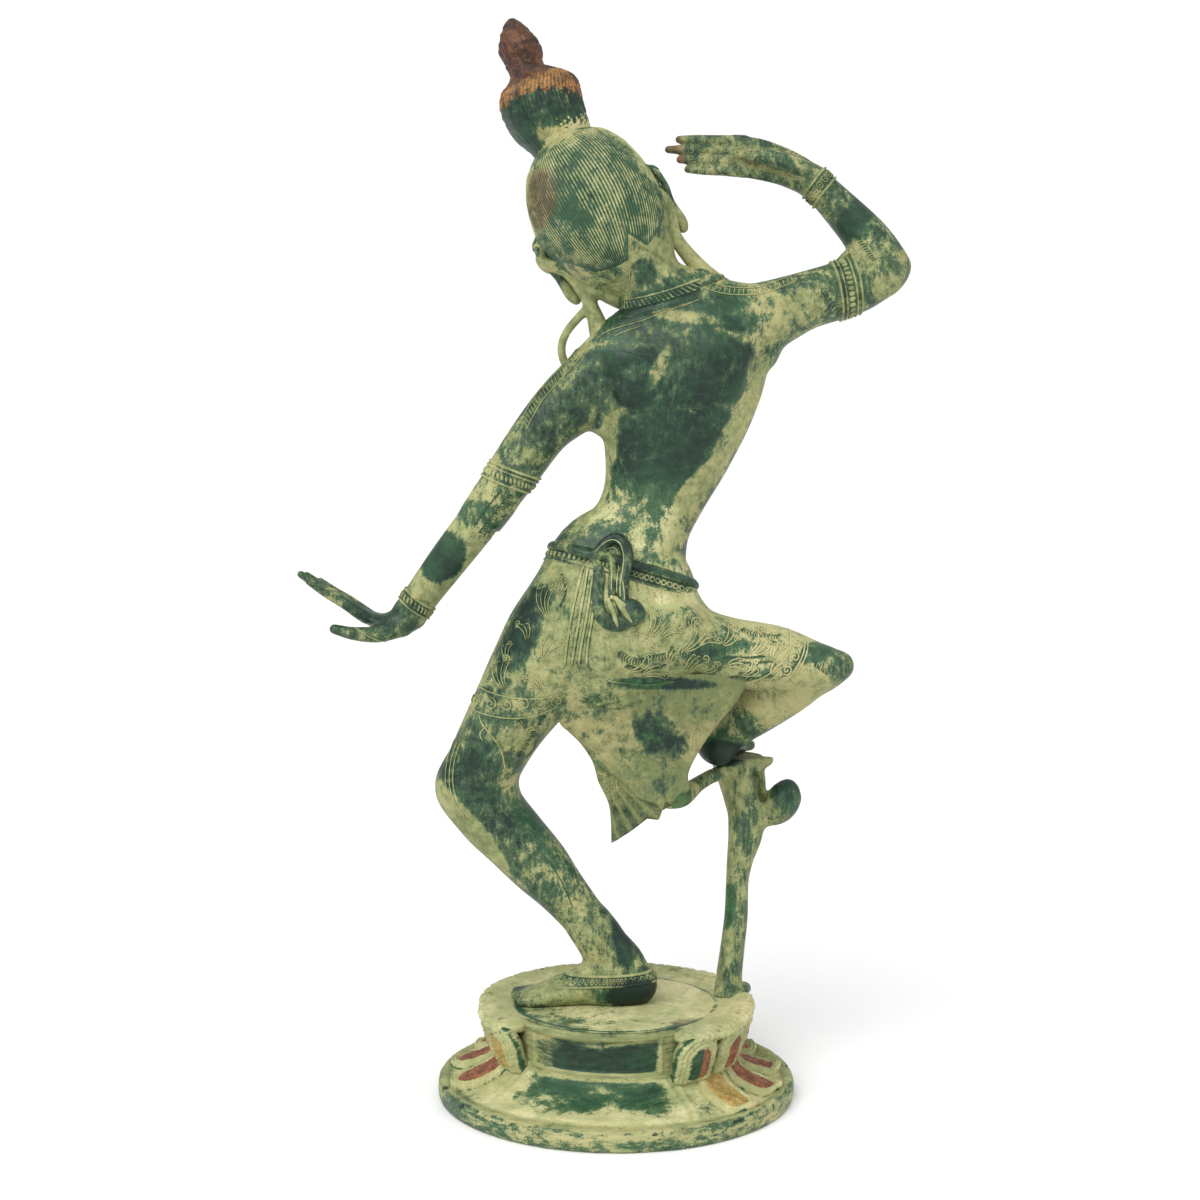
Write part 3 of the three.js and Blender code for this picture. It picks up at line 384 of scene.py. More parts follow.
def new_mesh(name, points, groups, material, attributes=None, node="figure", placed=True):
    """A mesh object that stands for a node of the cast, from points in the figure's millimetres and a list
    of index arrays, one for each number of corners. It gets one number a point for each attribute, and where
    it is placed the places' finishes are added to those."""
    mesh = bpy.data.meshes.new(name)
    points = np.asarray(points, float).reshape(-1, 3)
    corners = np.concatenate([group.ravel() for group in groups])
    sizes = np.concatenate([np.full(len(group), group.shape[1]) for group in groups])
    mesh.vertices.add(len(points))
    mesh.vertices.foreach_set("co", place(points).astype(np.float32).ravel())
    mesh.loops.add(len(corners))
    mesh.loops.foreach_set("vertex_index", corners)
    mesh.polygons.add(len(sizes))
    mesh.polygons.foreach_set("loop_start", np.cumsum(sizes) - sizes)
    mesh.update(calc_edges=True)
    mesh.validate()
    mesh.polygons.foreach_set("use_smooth", np.full(len(mesh.polygons), True))
    given = dict(attributes or {})
    for key in ("hollow", "wash", "tone", "warm", "paint"):
        values = np.zeros(len(points)) + given.pop(key, 0)
        if key != "hollow" and placed:
            values = values + finish_at(points, key)
        given[key] = values
    for key, values in given.items():
        layer = mesh.attributes.new(key, "FLOAT", "POINT")
        layer.data.foreach_set("value", np.broadcast_to(values, len(points)).astype(np.float32))
    mesh.materials.append(material)
    piece = bpy.data.objects.new(name, mesh)
    bpy.context.scene.collection.objects.link(piece)
    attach(piece, "root")
    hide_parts(node)


def wax_block(low, high, voxel, chosen):
    """The melted distance to the chosen strokes in the cells of a box: (lowest corner, cell size, block)."""
    low, high = np.array(low, float), np.array(high, float)
    shape = np.ceil((high - low) / voxel).astype(int) + 1
    block = np.full(shape, REACH, np.float32)
    for rows, melt, depth, heading, cut in chosen:
        girth = rows[:, 3:5].max() + REACH
        inside, _ = window_of(low, voxel, shape, rows[:, :3].min(0) - girth, rows[:, :3].max(0) + girth)
        if inside is None:
            continue
        own = np.full(block[inside].shape, REACH, np.float32)
        start = low + voxel * np.array([s.start for s in inside])
        for a, b in zip(rows[:-1], rows[1:]):
            reach = max(a[3:5].max(), b[3:5].max()) + REACH
            part, axes = window_of(start, voxel, np.array(own.shape), np.minimum(a[:3], b[:3]) - reach,
                                   np.maximum(a[:3], b[:3]) + reach)
            if part is not None:
                near = np.clip(near_distance(axes, a, b, depth, heading), -REACH, REACH)
                own[part] = np.minimum(own[part], near)
        block[inside] = -melted(-block[inside], own, melt) if cut else melted(block[inside], own, melt)
    return low, voxel, softened(block, 1)


def distance(wax, points):
    """The melted distance at any points."""
    low, voxel, block = wax
    return sampled(block, ((points - low) / voxel).reshape(-1, 3)).reshape(points.shape[:-1])


def walk(wax, starts, ways, steps=40):
    """Walks from each start along its way to the skin. Each step is four fifths of the distance that is
    left, so a start outside the wax ends on the first skin that it meets, and one inside ends on the first
    skin out."""
    starts, ways = np.broadcast_arrays(np.asarray(starts, float), unit(ways))
    sign = np.sign(distance(wax, starts))[..., None]
    points = starts.copy()
    for _ in range(steps):
        points = points + 0.8 * sign * distance(wax, points)[..., None] * ways
    return points


def facing(wax, points):
    """The way out of the wax at points: the slope of the melted distance over a millimetre each way."""
    slope = [distance(wax, points + step) - distance(wax, points - step) for step in np.eye(3)]
    return unit(np.stack(slope, -1) + 1e-9)


def cast(name, wax, material, planes=(), **how):
    """Casts a block of wax, cut off by some planes, each a point, the way out, and how far round the point
    it cuts. The skin is where the melted distance is nought. The hollow attribute is how far the skin sinks
    under the wax averaged over a few millimetres round it."""
    low, voxel, block = wax
    axes = np.ix_(*[low[k] + voxel * np.arange(block.shape[k]) for k in range(3)])
    wide = softened(block[::2, ::2, ::2], round((HOLLOW_WIDTH / voxel) ** 2 / 4))
    block = block.copy()
    for point, out, reach in planes:
        offset = [axis - p for axis, p in zip(axes, point)]
        beyond = sum(o * k for o, k in zip(offset, unit(out)))
        block = np.where(sum(o * o for o in offset) < reach * reach, np.maximum(block, beyond), block)
    block[[0, -1]], block[:, [0, -1]], block[:, :, [0, -1]] = REACH, REACH, REACH
    grid = openvdb.FloatGrid(REACH)
    grid.copyFromArray(np.ascontiguousarray(block, np.float32))
    points, quads = grid.convertToQuads(0.0)
    hollow = np.clip(-sampled(wide, points / 2), *HOLLOW_RANGE)
    new_mesh(name, low + points * voxel, [quads[:, ::-1]], material, {"hollow": hollow}, **how)


# The patina
# Old bronze: green that goes from dark to hazy under a cream wash, rubbed pale along the raised lines, with
# dark specks, tan and warm stains, bright green paint in places, and fine pits. Every piece has a mixture of
# it.

COVER_LEVEL, COVER_EDGE = 1.135, (-0.06, 0.085)
PIT_DEPTH = 0.0006


class Socket:
    """One shader socket that takes part in Python expressions; each operator adds the Math node that it
    needs."""

    def __init__(self, tree, link=None):
        self.tree, self.link = tree, link

    def node(self, kind, settings=None, **values):
        """Adds a node, sets its settings, then fills its inputs, by name or _number, with values or
        links."""
        made = self.tree.nodes.new(kind)
        for key, value in (settings or {}).items():
            setattr(made, key, value)
        for key, value in values.items():
            socket = made.inputs[int(key[1:])] if key[0] == "_" else made.inputs[key]
            if isinstance(value, Socket):
                self.tree.links.new(value.link, socket)
            else:
                socket.default_value = value
        return made

    def out(self, kind, settings=None, output=0, **values):
        """The same, and gives one of the new node's outputs."""
        return Socket(self.tree, self.node(kind, settings, **values).outputs[output])

    def maths(self, operation, first, second):
        """One Math node on two values."""
        return self.out("ShaderNodeMath", {"operation": operation}, _0=first, _1=second)

    def __add__(self, other):
        return self.maths("ADD", self, other)

    def __radd__(self, other):
        return self.maths("ADD", other, self)

    def __sub__(self, other):
        return self.maths("SUBTRACT", self, other)

    def __rsub__(self, other):
        return self.maths("SUBTRACT", other, self)

    def __mul__(self, other):
        return self.maths("MULTIPLY", self, other)

    def __rmul__(self, other):
        return self.maths("MULTIPLY", other, self)

    def step(self, low, high):
        """0 below low, 1 above high, and smooth between."""
        return self.out("ShaderNodeMapRange", {"interpolation_type": "SMOOTHSTEP"},
                        Value=self, _1=low, _2=high, _3=0.0, _4=1.0)

    def scaled(self, x, y, z):
        """A vector with its three parts multiplied."""
        return self.out("ShaderNodeVectorMath", {"operation": "MULTIPLY"}, _0=self, _1=(x, y, z))

    def noise(self, millimetres, detail=3.0, rough=0.55, warp=0.0):
        """Fractal noise whose largest lumps are about that many millimetres across."""
        return self.out("ShaderNodeTexNoise", None, Vector=self, Scale=1000 / millimetres, Detail=detail,
                        Roughness=rough, Distortion=warp)

    def blend(self, under, over):
        """Mixes two colours by this socket: 0 is the first, 1 the second."""
        return self.out("ShaderNodeMix", {"data_type": "RGBA"}, 2, _0=self, _6=under, _7=over)


def rgb(red, green, blue):
    """A colour given as it looks on a screen, 0 to 255, made linear."""
    screen = [value / 255 for value in (red, green, blue)]
    return tuple(v / 12.92 if v <= 0.04 else ((v + 0.055) / 1.055) ** 2.4 for v in screen) + (1,)


DARK_GREEN, GREEN, HAZE = rgb(12, 37, 28), rgb(36, 72, 48), rgb(98, 127, 86)
OCHRE, CREAM, PALE = rgb(110, 119, 75), rgb(158, 164, 112), rgb(216, 210, 160)
EARTH, RUST, TAN = rgb(38, 36, 26), rgb(110, 62, 40), rgb(184, 168, 118)


def patina(name, wash=0.0, hollows=0.4, stretch=(1, 1, 1), tint=None):
    """The green is mixed by clouds and rubbed streaks. The wash lies over it where several noises, the
    hollows and the wash attribute add up to more than a level. A tint lays one more colour over the rest."""
    material = bpy.data.materials.new(name)
    material.use_nodes = True
    tree = material.node_tree
    shader = tree.nodes["Principled BSDF"]
    start = Socket(tree)
    at = start.out("ShaderNodeTexCoord", None, "Object")
    spread = at.scaled(*stretch)
    hollow, extra, tone, warm, paint = (start.out("ShaderNodeAttribute", {"attribute_name": key}, "Fac")
                                        for key in ("hollow", "wash", "tone", "warm", "paint"))
    cloud, patch = spread.noise(60, 2, 0.5, 0.5), spread.noise(22, 6, 0.66, 1.3)
    mottle, grain, streak = spread.noise(5, 5, 0.68), at.noise(0.9, 3, 0.6), spread.noise(11, 6, 0.72, 0.7)
    brush = spread.scaled(2.6, 2.6, 0.7).noise(5, 3, 0.6)
    cover = patch * 0.85 + mottle * 0.36 + streak * 0.35 + grain * 0.36 + brush * 0.45
    cover = cover + hollow * hollows + extra + (wash - COVER_LEVEL)
    green = (cloud * 0.8 + mottle * 0.5 + tone).step(0.5, 0.8).blend(DARK_GREEN, GREEN)
    dusted = cover.step(-0.24, 0.02) * 0.42
    dusted = dusted + (streak * 0.6 + grain * 0.25 + tone * 0.6).step(0.44, 0.7) * 0.32
    green = dusted.blend(green, HAZE)
    cream = (mottle * 0.7 + cloud * 0.4 + tone).step(0.4, 0.72).blend(OCHRE, CREAM)
    cream = (streak * 0.5 + grain * 0.2 + tone * 0.7).step(0.4, 0.62).blend(cream, PALE)
    cream = ((cloud * 0.5 + patch * 0.4 + mottle * 0.3).step(0.56, 0.72) * 0.42).blend(cream, TAN)
    cover = cover.step(*COVER_EDGE)
    speck = (grain * 0.6 + brush * 0.4 + hollow * 0.12).step(0.56, 0.66)
    colour = cover.blend(green, cream)
    colour = (speck * 0.6).blend(colour, EARTH)
    colour = ((warm + mottle * 0.7 - 0.35).step(0.1, 0.9) * 0.75).blend(colour, RUST)
    bright = (mottle * 0.6 + grain * 0.4).step(0.42, 0.62).blend(rgb(22, 66, 36), rgb(58, 108, 54))
    colour = ((paint + streak * 0.5 + mottle * 0.5 - 0.5).step(0.3, 0.6) * 0.85).blend(colour, bright)
    if tint:
        colour = tint(start, colour, mottle, grain, streak)
    tree.links.new(colour.link, shader.inputs["Base Color"])
    tree.links.new((cover * 0.27 + mottle * 0.25 + speck * 0.1 + 0.28).link, shader.inputs["Roughness"])
    shader.inputs["Specular IOR Level"].default_value = 0.36
    height = grain * 0.3 + mottle * 0.9 + cover * 0.45 - speck * 0.5
    bump = start.out("ShaderNodeBump", None, Strength=0.55, Distance=PIT_DEPTH, Height=height)
    tree.links.new(bump.link, shader.inputs["Normal"])
    return material


bronze = patina("bronze_patina")


# The figure's cast body
# The wax is cast in seven pieces, because head and hands need a finer grain than trunk and legs. The belt,
# the collar and the bracelets cover the places where the pieces meet.

BODY_GRAIN, HEAD_GRAIN, HAND_GRAIN = 1.1, 0.8, 0.6
SOLE_UP = 50.3
FAR = 200
BELT_CENTRE = np.array([2.5, 0, 298])
BELT_AXIS = unit([0.27, 0.1, 1])
COLLAR_CENTRE = np.array([23.5, 1, 447])
COLLAR_AXIS = unit([-0.285, -0.29, 1])
LEFT_WRIST, LEFT_WAY = np.array([-112.6, 14, 272.2]), unit([-0.47, 0, -0.88])
RIGHT_WRIST, RIGHT_WAY = np.array([113, 15, 509]), unit([-0.81, 0, 0.58])
BELT_REACH, COLLAR_REACH, LEFT_REACH, RIGHT_REACH = 74, 62, 32, 60

arms = left_arm + right_arm
trunk_wax = wax_block((-124, -38, 256), (172, 42, 526), BODY_GRAIN, trunk + arms)
leg_wax = wax_block((-110, -42, 49), (144, 96, 318), BODY_GRAIN, trunk + legs)
head_wax = wax_block((-56, -46, 430), (72, 62, 548), HEAD_GRAIN, trunk + head)
left_hand_wax = wax_block((-188, -8, 244), (-96, 46, 302), HAND_GRAIN, left_arm + left_hand)
right_hand_wax = wax_block((20, -4, 490), (130, 36, 548), HAND_GRAIN, right_arm + right_hand)
hanging_wax = wax_block((-52, -8, 396), (72, 20, 516), HAND_GRAIN, hangings)
cast("figure_trunk", trunk_wax, bronze, [
    (BELT_CENTRE, -BELT_AXIS, BELT_REACH), (COLLAR_CENTRE, COLLAR_AXIS, COLLAR_REACH),
    (LEFT_WRIST, LEFT_WAY, LEFT_REACH), (RIGHT_WRIST, RIGHT_WAY, RIGHT_REACH)])
cast("figure_legs", leg_wax, bronze, [
    (BELT_CENTRE, BELT_AXIS, BELT_REACH), ((0, 0, SOLE_UP), (0, 0, -1), FAR)])
cast("figure_head", head_wax, bronze, [(COLLAR_CENTRE, -COLLAR_AXIS, COLLAR_REACH)])
cast("figure_left_hand", left_hand_wax, bronze, [(LEFT_WRIST, -LEFT_WAY, LEFT_REACH)])
cast("figure_right_hand", right_hand_wax, bronze, [(RIGHT_WRIST, -RIGHT_WAY, RIGHT_REACH)])
cast("figure_ear_ornaments", hanging_wax, patina("hanging_patina", 0.2, 0.5))

# The chin hangs in front of the collar's plane, so it is cast by itself from the wax of the trunk and head
THROAT, THROAT_WAY = (2, 8, 446), unit([0.5, -1, -0.5])
chin_wax = wax_block((-16, 0, 437), (48, 46, 464), HEAD_GRAIN, trunk + head)
cast("figure_chin", chin_wax, bronze, [(COLLAR_CENTRE, COLLAR_AXIS, FAR), (THROAT, THROAT_WAY, FAR)])


# The hair
# Combed down from the topknot to the nape in fine ridges that were cut into the wax, and rubbed pale on
# their tops. It stops at the hairline, at the ears and at a bare three-cornered place on the nape.

HAIR_RIDGES = 116
HAIR_AROUND = 6 * HAIR_RIDGES
HAIR_REACH = 56.0
HAIR_LIFT, RIDGE_LIFT = 0.25, 0.6
NAPE_APEX, NAPE_SLOPE = (7.3, 474.5), 0.543


def head_frame(points):
    """Points in the head's own frame: right, front and up from its middle."""
    right, front, up = np.moveaxis(points - HEAD_CENTRE, -1, 0)
    c, s = math.cos(HEAD_TILT), math.sin(HEAD_TILT)
    return np.stack([right * c + up * s, front, up * c - right * s], -1)


def smooth(value, low, high):
    """0 below low, 1 above high, and a smooth cubic between."""
    share = np.clip((value - low) / (high - low), 0, 1)
    return share * share * (3 - 2 * share)


def grid_faces(rows, columns, round_rows=False, round_columns=False):
    """The quads of a grid of points, row by row; a way of the grid may join its end to its start."""
    i, j = np.meshgrid(np.arange(rows - (not round_rows)), np.arange(columns - (not round_columns)),
                       indexing="ij")
    after, beside = (i + 1) % rows, (j + 1) % columns
    corners = [i * columns + j, i * columns + beside, after * columns + beside, after * columns + j]
    return np.stack(corners, -1).reshape(-1, 4)


def lumps(points, size, seed=0):
    """Soft lumps about that many millimetres across, from -1 to 1: five sine waves that run in directions
    drawn from the seed, added up."""
    draw = np.random.default_rng(seed)
    total = 0
    for way, phase in zip(unit(draw.normal(size=(5, 3))), draw.uniform(0, 2 * math.pi, 5)):
        total = total + np.sin(points @ way * 2 * math.pi / size * draw.uniform(0.7, 1.4) + phase)
    return total / 3


# The ridges are meridians that run from the topknot round to the nape: each follows a curve from one pole
# direction to the other, pulled out towards its own place on the equator between them.
hair_top, hair_end = np.array([0, 0, 1.0]), unit([-10.6, -7, -50.7])
hair_pole = unit(hair_top - hair_end)
hair_side = unit(np.cross(hair_pole, (0, 1, 0)))
turn = np.linspace(0, 2 * math.pi, HAIR_AROUND, endpoint=False)[:, None, None]
share = np.linspace(0.16, 0.985, 96)[None, :, None]
equator = np.cos(turn) * hair_side + np.sin(turn) * np.cross(hair_pole, hair_side)
ways = hair_top * (1 - share) ** 2 + 3.2 * share * (1 - share) * equator + hair_end * share**2
hair_middle = np.array([0, -2, 4])
starts = tilted(np.broadcast_to(hair_middle, ways.shape).reshape(-1, 3)).reshape(ways.shape)
ends = tilted((hair_middle + ways).reshape(-1, 3)).reshape(ways.shape)
skin = walk(head_wax, starts, ends - starts, 46)
reached = np.linalg.norm(skin - starts, axis=-1, keepdims=True)
skin = starts + (skin - starts) / reached * np.minimum(reached, HAIR_REACH)
own = head_frame(skin)
right, front, up = np.moveaxis(skin, -1, 0)
nape = np.maximum(NAPE_APEX[0] - right, (up - NAPE_APEX[1] + NAPE_SLOPE * (right - NAPE_APEX[0])) * 0.88)
ear_line = (up - 449 - 0.38 * (7 - right)) * 0.93
hairline = 0.75 * own[..., 2] - 0.66 * own[..., 1] + 8
crown = 43 - own[..., 2]
edge = np.minimum(np.minimum(hairline, crown), np.where(front < 6, np.minimum(nape, ear_line), 9))
inside = smooth(edge, -0.3, 1.6)
ridge = np.cos(turn[..., 0] * HAIR_RIDGES / 2) ** 2
ridge = ridge**1.5 * (1 - 0.75 * np.exp(-((right + 24) / 11) ** 2 - ((up - 484) / 9) ** 2))
ridge = ridge * smooth(edge, 0.5, 5) * (0.8 + 0.2 * lumps(skin, 9, 3))
height = inside * (HAIR_LIFT + 1.3) - 1.3 + ridge * RIDGE_LIFT
wash = ridge * 0.5 - 0.31 + 0.1 * smooth(own[..., 2], 22, 40) + 0.12 * lumps(skin, 26, 8)
new_mesh("hair", skin + height[..., None] * facing(head_wax, skin),
         [grid_faces(*height.shape, round_rows=True)[:, ::-1]], bronze,
         {"wash": wash.ravel(), "tone": 0.12})


# The topknot
# A gathered roll of hair with a parting, cast with the head. Its top and the rough finial over it are washed
# red-brown, the ridges under them gilt orange, down to a ragged edge, and its foot is pale. The orange is
# strongest on the ridges' tops and weaker in the gaps between them: painted highlight and shade over the
# gilt.

TOPKNOT = [[-20, 3, 514, 16.5], [-23.6, 3, 521, 16.6], [-27.4, 3, 527.4, 17], [-31, 3, 533, 18.4],
           [-35.6, 3, 538.8, 20.6], [-39, 3, 545, 22.2], [-41.3, 3, 551.7, 22.8], [-42, 3, 558.4, 22],
           [-41.4, 3, 563.6, 19.6], [-42, 3, 567.6, 16.4], [-45.6, 3, 570.6, 13.6], [-49.4, 3, 572.8, 11.2],
           [-51.6, 3, 575.6, 10.6], [-53, 3, 580.4, 11.7], [-53.4, 3, 585, 11], [-54.6, 3, 590.2, 9],
           [-56, 3, 594.4, 6.2], [-57, 3, 597.6, 3.4], [-57.4, 3, 599.4, 1.2]]
TOPKNOT_RIDGES = 62
TOPKNOT_AROUND = 7 * TOPKNOT_RIDGES
PARTING = math.radians(238)
FINIAL_UP = 571


def skin_of(sections, closed=False):
    """The points and faces of a tube from its sections, an array [along, round, 3]. Both ends are drawn
    together to the middle of the last section, or where it is closed the last section joins the first."""
    along, around = sections.shape[:2]
    quads = grid_faces(along, around, closed, True)
    if closed:
        return sections.reshape(-1, 3), [quads]
    points = np.vstack([sections.reshape(-1, 3), sections[:1].mean(1), sections[-1:].mean(1)])
    j = np.arange(around)
    beside, last = (j + 1) % around, (along - 1) * around
    start = np.stack([np.full(around, along * around), beside, j], -1)
    end = np.stack([np.full(around, along * around + 1), last + j, last + beside], -1)
    return points, [quads, np.vstack([start, end])]


def turned_out(points, groups):
    """The faces with their corners in the order that points them out of the closed shape: the sum of the
    volumes of the tetrahedra from the origin to each face is then above nought."""
    volume = 0
    for group in groups:
        for k in range(1, group.shape[1] - 1):
            a, b, c = points[group[:, 0]], points[group[:, k]], points[group[:, k + 1]]
            volume += np.einsum("ij,ij->i", a, np.cross(b, c)).sum()
    return groups if volume > 0 else [group[:, ::-1] for group in groups]


def solid_mesh(name, sections, material, attributes=None, closed=False, **how):
    """One closed tube as a mesh: attributes are arrays [along, round], and the ends take the means."""
    points, groups = skin_of(sections, closed)
    given = {}
    for key, values in (attributes or {}).items():
        values = np.broadcast_to(values, sections.shape[:2])
        ends = [] if closed else [values[0].mean(), values[-1].mean()]
        given[key] = np.concatenate([values.ravel(), ends])
    new_mesh(name, points, turned_out(points, groups), material, given, **how)


# Round sections lean along the knot, and ridges run up it on both sides of a parting with a lobe
knot_rows = spline(TOPKNOT, 0.55)
knot_lean = np.interp(knot_rows[:, 2], [520, 540, 552, 566, 573], [-0.45, -0.36, -0.1, -0.14, 0])
knot_axis = unit(np.stack([knot_lean, np.zeros_like(knot_lean), np.ones_like(knot_lean)], -1))
knot_side = unit(np.cross((0, 1, 0), knot_axis))
knot_through = np.cross(knot_axis, knot_side)
angle = np.linspace(0, 2 * math.pi, TOPKNOT_AROUND, endpoint=False)[None, :]
knot_ways = np.cos(angle)[..., None] * knot_side[:, None] + np.sin(angle)[..., None] * knot_through[:, None]
knot = knot_rows[:, None, :3] + knot_rows[:, None, 3:4] * knot_ways
right, front, up = np.moveaxis(knot, -1, 0)
ragged = 0.9 * lumps(knot, 4, 5) + 0.7 * lumps(knot, 1.9, 6)
cap_edge = 563.5 + 0.42 * np.clip(right + 48, -14, 18) - 1.1 * np.clip(right + 30, 0, 12) + 1.3 * ragged
band_edge = 555 + 0.1 * (right + 40) - 0.35 * np.clip(-48 - right, 0, 20) + 2 * ragged
foot_edge = 535 + 0.5 * (right + 32) - 9 * smooth(-right, 34, 44) + 4 * ragged
cap, above_band, foot = (smooth(up - e, -0.25, 0.25) for e in (cap_edge, band_edge, foot_edge))
finial = smooth(up - FINIAL_UP - 0.1 * (right + 50), -2, 2)
ridge = np.cos(angle * TOPKNOT_RIDGES / 2) ** 2
ridge = ridge * smooth(up, 536, 556) * (1 - 0.6 * cap) * (1 - finial)
parting_gap = (angle - PARTING + 0.06 * (up - 545) / 10) * knot_rows[:, None, 3]
parting = np.exp(-(parting_gap / 1.5) ** 2) * smooth(up, 528, 538) * smooth(566 - up, 0, 8)
lobe = np.exp(-((parting_gap + 8) / 6) ** 2) * smooth(up, 530, 542) * smooth(562 - up, 0, 10)
burl = lumps(knot, 7, 11) * 0.3 + lumps(knot, 3.6, 12) * 0.35 + lumps(knot, 1.8, 13) * 0.12
height = 0.55 * ridge - 1.5 * parting + 0.9 * lobe + 0.35 * cap + finial * burl
height = height + 0.2 * lumps(knot, 5, 4) * foot
rim = np.exp(-((up - cap_edge) / 0.5) ** 2) * (1 - finial)
height = height + 0.3 * rim
gold = (above_band * (1 - cap) + 0.6 * rim) * (1 - 0.8 * parting)


def topknot_tint(start, colour, mottle, grain, streak):
    """Red-brown over the top and the finial, and gilt orange over the ridges, stronger on their tops as a
    painted highlight.
    """
    red, orange = (start.out("ShaderNodeAttribute", {"attribute_name": key}, "Fac")
                   for key in ("red", "orange"))
    brown = (streak * 0.7 + grain * 0.3).step(0.42, 0.62).blend(rgb(44, 28, 18), rgb(108, 64, 36))
    gilt = (mottle * 0.6 + grain * 0.4).step(0.4, 0.62).blend(rgb(92, 60, 30), rgb(190, 132, 68))
    return red.blend(orange.blend(colour, gilt), brown)


knot_patina = patina("topknot_patina", -0.1, 0.1, tint=topknot_tint)
# The orange share rises with the ridge height: gilt with a painted highlight on the ridges' tops and painted
# shade in the gaps.
solid_mesh("topknot", knot + height[..., None] * knot_ways, knot_patina, {
    "red": cap, "orange": np.clip(gold * (0.4 + 0.6 * ridge), 0, 1),
    "wash": 0.4 * (1 - foot) - 0.2 * foot + 0.12 * ridge, "tone": 0.3 * (1 - foot) - 0.1})


# The jewellery
# Collar, armlets, bracelets and anklet, modelled in the wax as raised bands with beads, slanted ticks and
# small curls, and cast with the body. Their ridges are rubbed pale and their hollows stay dark.

RING_STEP, RING_FOOT = 0.32, -2.0
jewellery = patina("jewellery_patina", -0.06, -0.6)


def row_of(angle, offset, count, at, half, lean=0.0, ridge=False):
    """A row round a band, a given number of half balls or, as a ridge, of bars across it: the height falls
    off as a circle does along the row, and across it as a circle or not at all."""
    along = ((angle + lean * (offset - at)) * count / (2 * math.pi)) % 1 * 2 - 1
    across = np.abs(offset - at) / half
    if ridge:
        return np.sqrt(np.clip(1 - (along * 1.8) ** 2, 0, 1)) * smooth(1 - across, 0, 0.25)
    return np.sqrt(np.clip(1 - (along * 1.15) ** 2 - across**2, 0, 1))


def ring(name, wax, centre, axis, profile, detail, widest, turns=300, wash=None, **how):
    """A band round a limb. From points along its axis it goes out to the skin, and stands over it by the
    profile's height, [offset along the axis, height] in millimetres, and the detail's; it closes inside the
    skin. The hollow is how far a point lies under the mean of its neighbours."""
    axis = unit(axis)
    side = unit(np.cross(axis, (0, 1, 0)))
    angle = np.linspace(0, 2 * math.pi, turns, endpoint=False)[:, None]
    ways = (np.cos(angle) * side + np.sin(angle) * np.cross(axis, side))[:, None]
    profile = np.array(profile, float)
    steps = np.arange(profile[0, 0], profile[-1, 0] + 0.2, RING_STEP)
    offset = np.concatenate([[steps[0]], steps, [steps[-1]]])[None, :]
    lift = np.interp(offset, *profile.T) + detail(angle, offset)
    lift[:, [0, -1]] = RING_FOOT
    starts = centre + offset[0, :, None] * axis
    skin = walk(wax, np.broadcast_to(starts, (turns, *starts.shape)), ways, 30)
    radius = np.minimum(np.linalg.norm(skin - starts, axis=-1), widest)
    for _ in range(3):
        radius = (np.roll(radius, 1, 0) + 2 * radius + np.roll(radius, -1, 0)) / 4
    points = starts + (radius + lift)[..., None] * ways
    wide = lift.copy()
    for _ in range(6):
        beside = np.roll(wide, 1, 0)[:, 1:-1] + np.roll(wide, -1, 0)[:, 1:-1]
        wide[:, 1:-1] = (wide[:, :-2] + wide[:, 2:] + beside) / 4
    finish = {"hollow": wide - lift, "wash": wash(angle, offset) if wash else 0}
    solid_mesh(name, points, jewellery, finish, closed=True, **how)


def collar_detail(angle, offset):
    """Upright ticks over a plain roll."""
    return 0.75 * row_of(angle, offset, 46, 1.7, 2.1, 0.03, ridge=True)


def curl_detail(count, at, half):
    """Small curls side by side: rings with a ball in each."""

    def detail(angle, offset):
        along = ((angle * count / (2 * math.pi)) % 1 * 2 - 1) * half
        from_middle = np.hypot(along, offset - at)
        hoop = np.exp(-((from_middle - 0.66 * half) / 0.34) ** 2)
        return 0.8 * hoop + 0.8 * np.exp(-(from_middle / 0.55) ** 2)

    return detail


def edge_ring(*edges):
    """A band's profile with a round ridge at each edge place over a flat ground."""
    low, high = edges[0] - 1.1, edges[-1] + 1.1
    offset = np.arange(low, high + 0.1, 0.2)
    lift = 0.35 + sum(0.85 * np.exp(-((offset - edge) / 0.55) ** 2) for edge in edges)
    lift[[0, -1]] = -0.6
    return np.stack([offset, lift], -1)


ring("collar", trunk_wax, COLLAR_CENTRE, COLLAR_AXIS,
     [[-5.6, -0.5], [-4.9, 0.8], [-3.2, 1.5], [-1.6, 1.1], [-0.7, 0.35], [-0.2, 0.9], [3.8, 0.9], [4.3, 1.2],
      [4.9, -0.5]], collar_detail, widest=25)

ANKLET, ANKLET_AXIS = np.array([-4, 0, 65.5]), (-0.04, -0.04, 1)
LEFT_ARMLET, LEFT_ARMLET_AXIS = np.array([-57.5, 6, 346.5]), (-0.36, 0.1, -0.93)
RIGHT_ARMLET, RIGHT_ARMLET_AXIS = np.array([129, 10, 453.5]), (0.98, 0.08, 0.2)
ring("armlet_left", trunk_wax, LEFT_ARMLET, LEFT_ARMLET_AXIS, edge_ring(-4.4, -2.2, 4.6),
     lambda angle, offset: 0.9 * row_of(angle, offset, 34, 1.2, 1.7, 0.02), widest=22)
ring("armlet_right", trunk_wax, RIGHT_ARMLET, RIGHT_ARMLET_AXIS, edge_ring(-6.2, -3.8, 2.4, 5.2),
     lambda angle, offset: 0.8 * row_of(angle, offset, 30, -0.7, 1.9), widest=24)
ring("bracelet_left", left_hand_wax, LEFT_WRIST + 2.5 * -LEFT_WAY, (-0.6, 0.1, -0.8), edge_ring(-3, 3.2),
     lambda angle, offset: 0.9 * row_of(angle, offset, 24, 0.2, 1.9, 0.03, ridge=True), turns=240, widest=18)
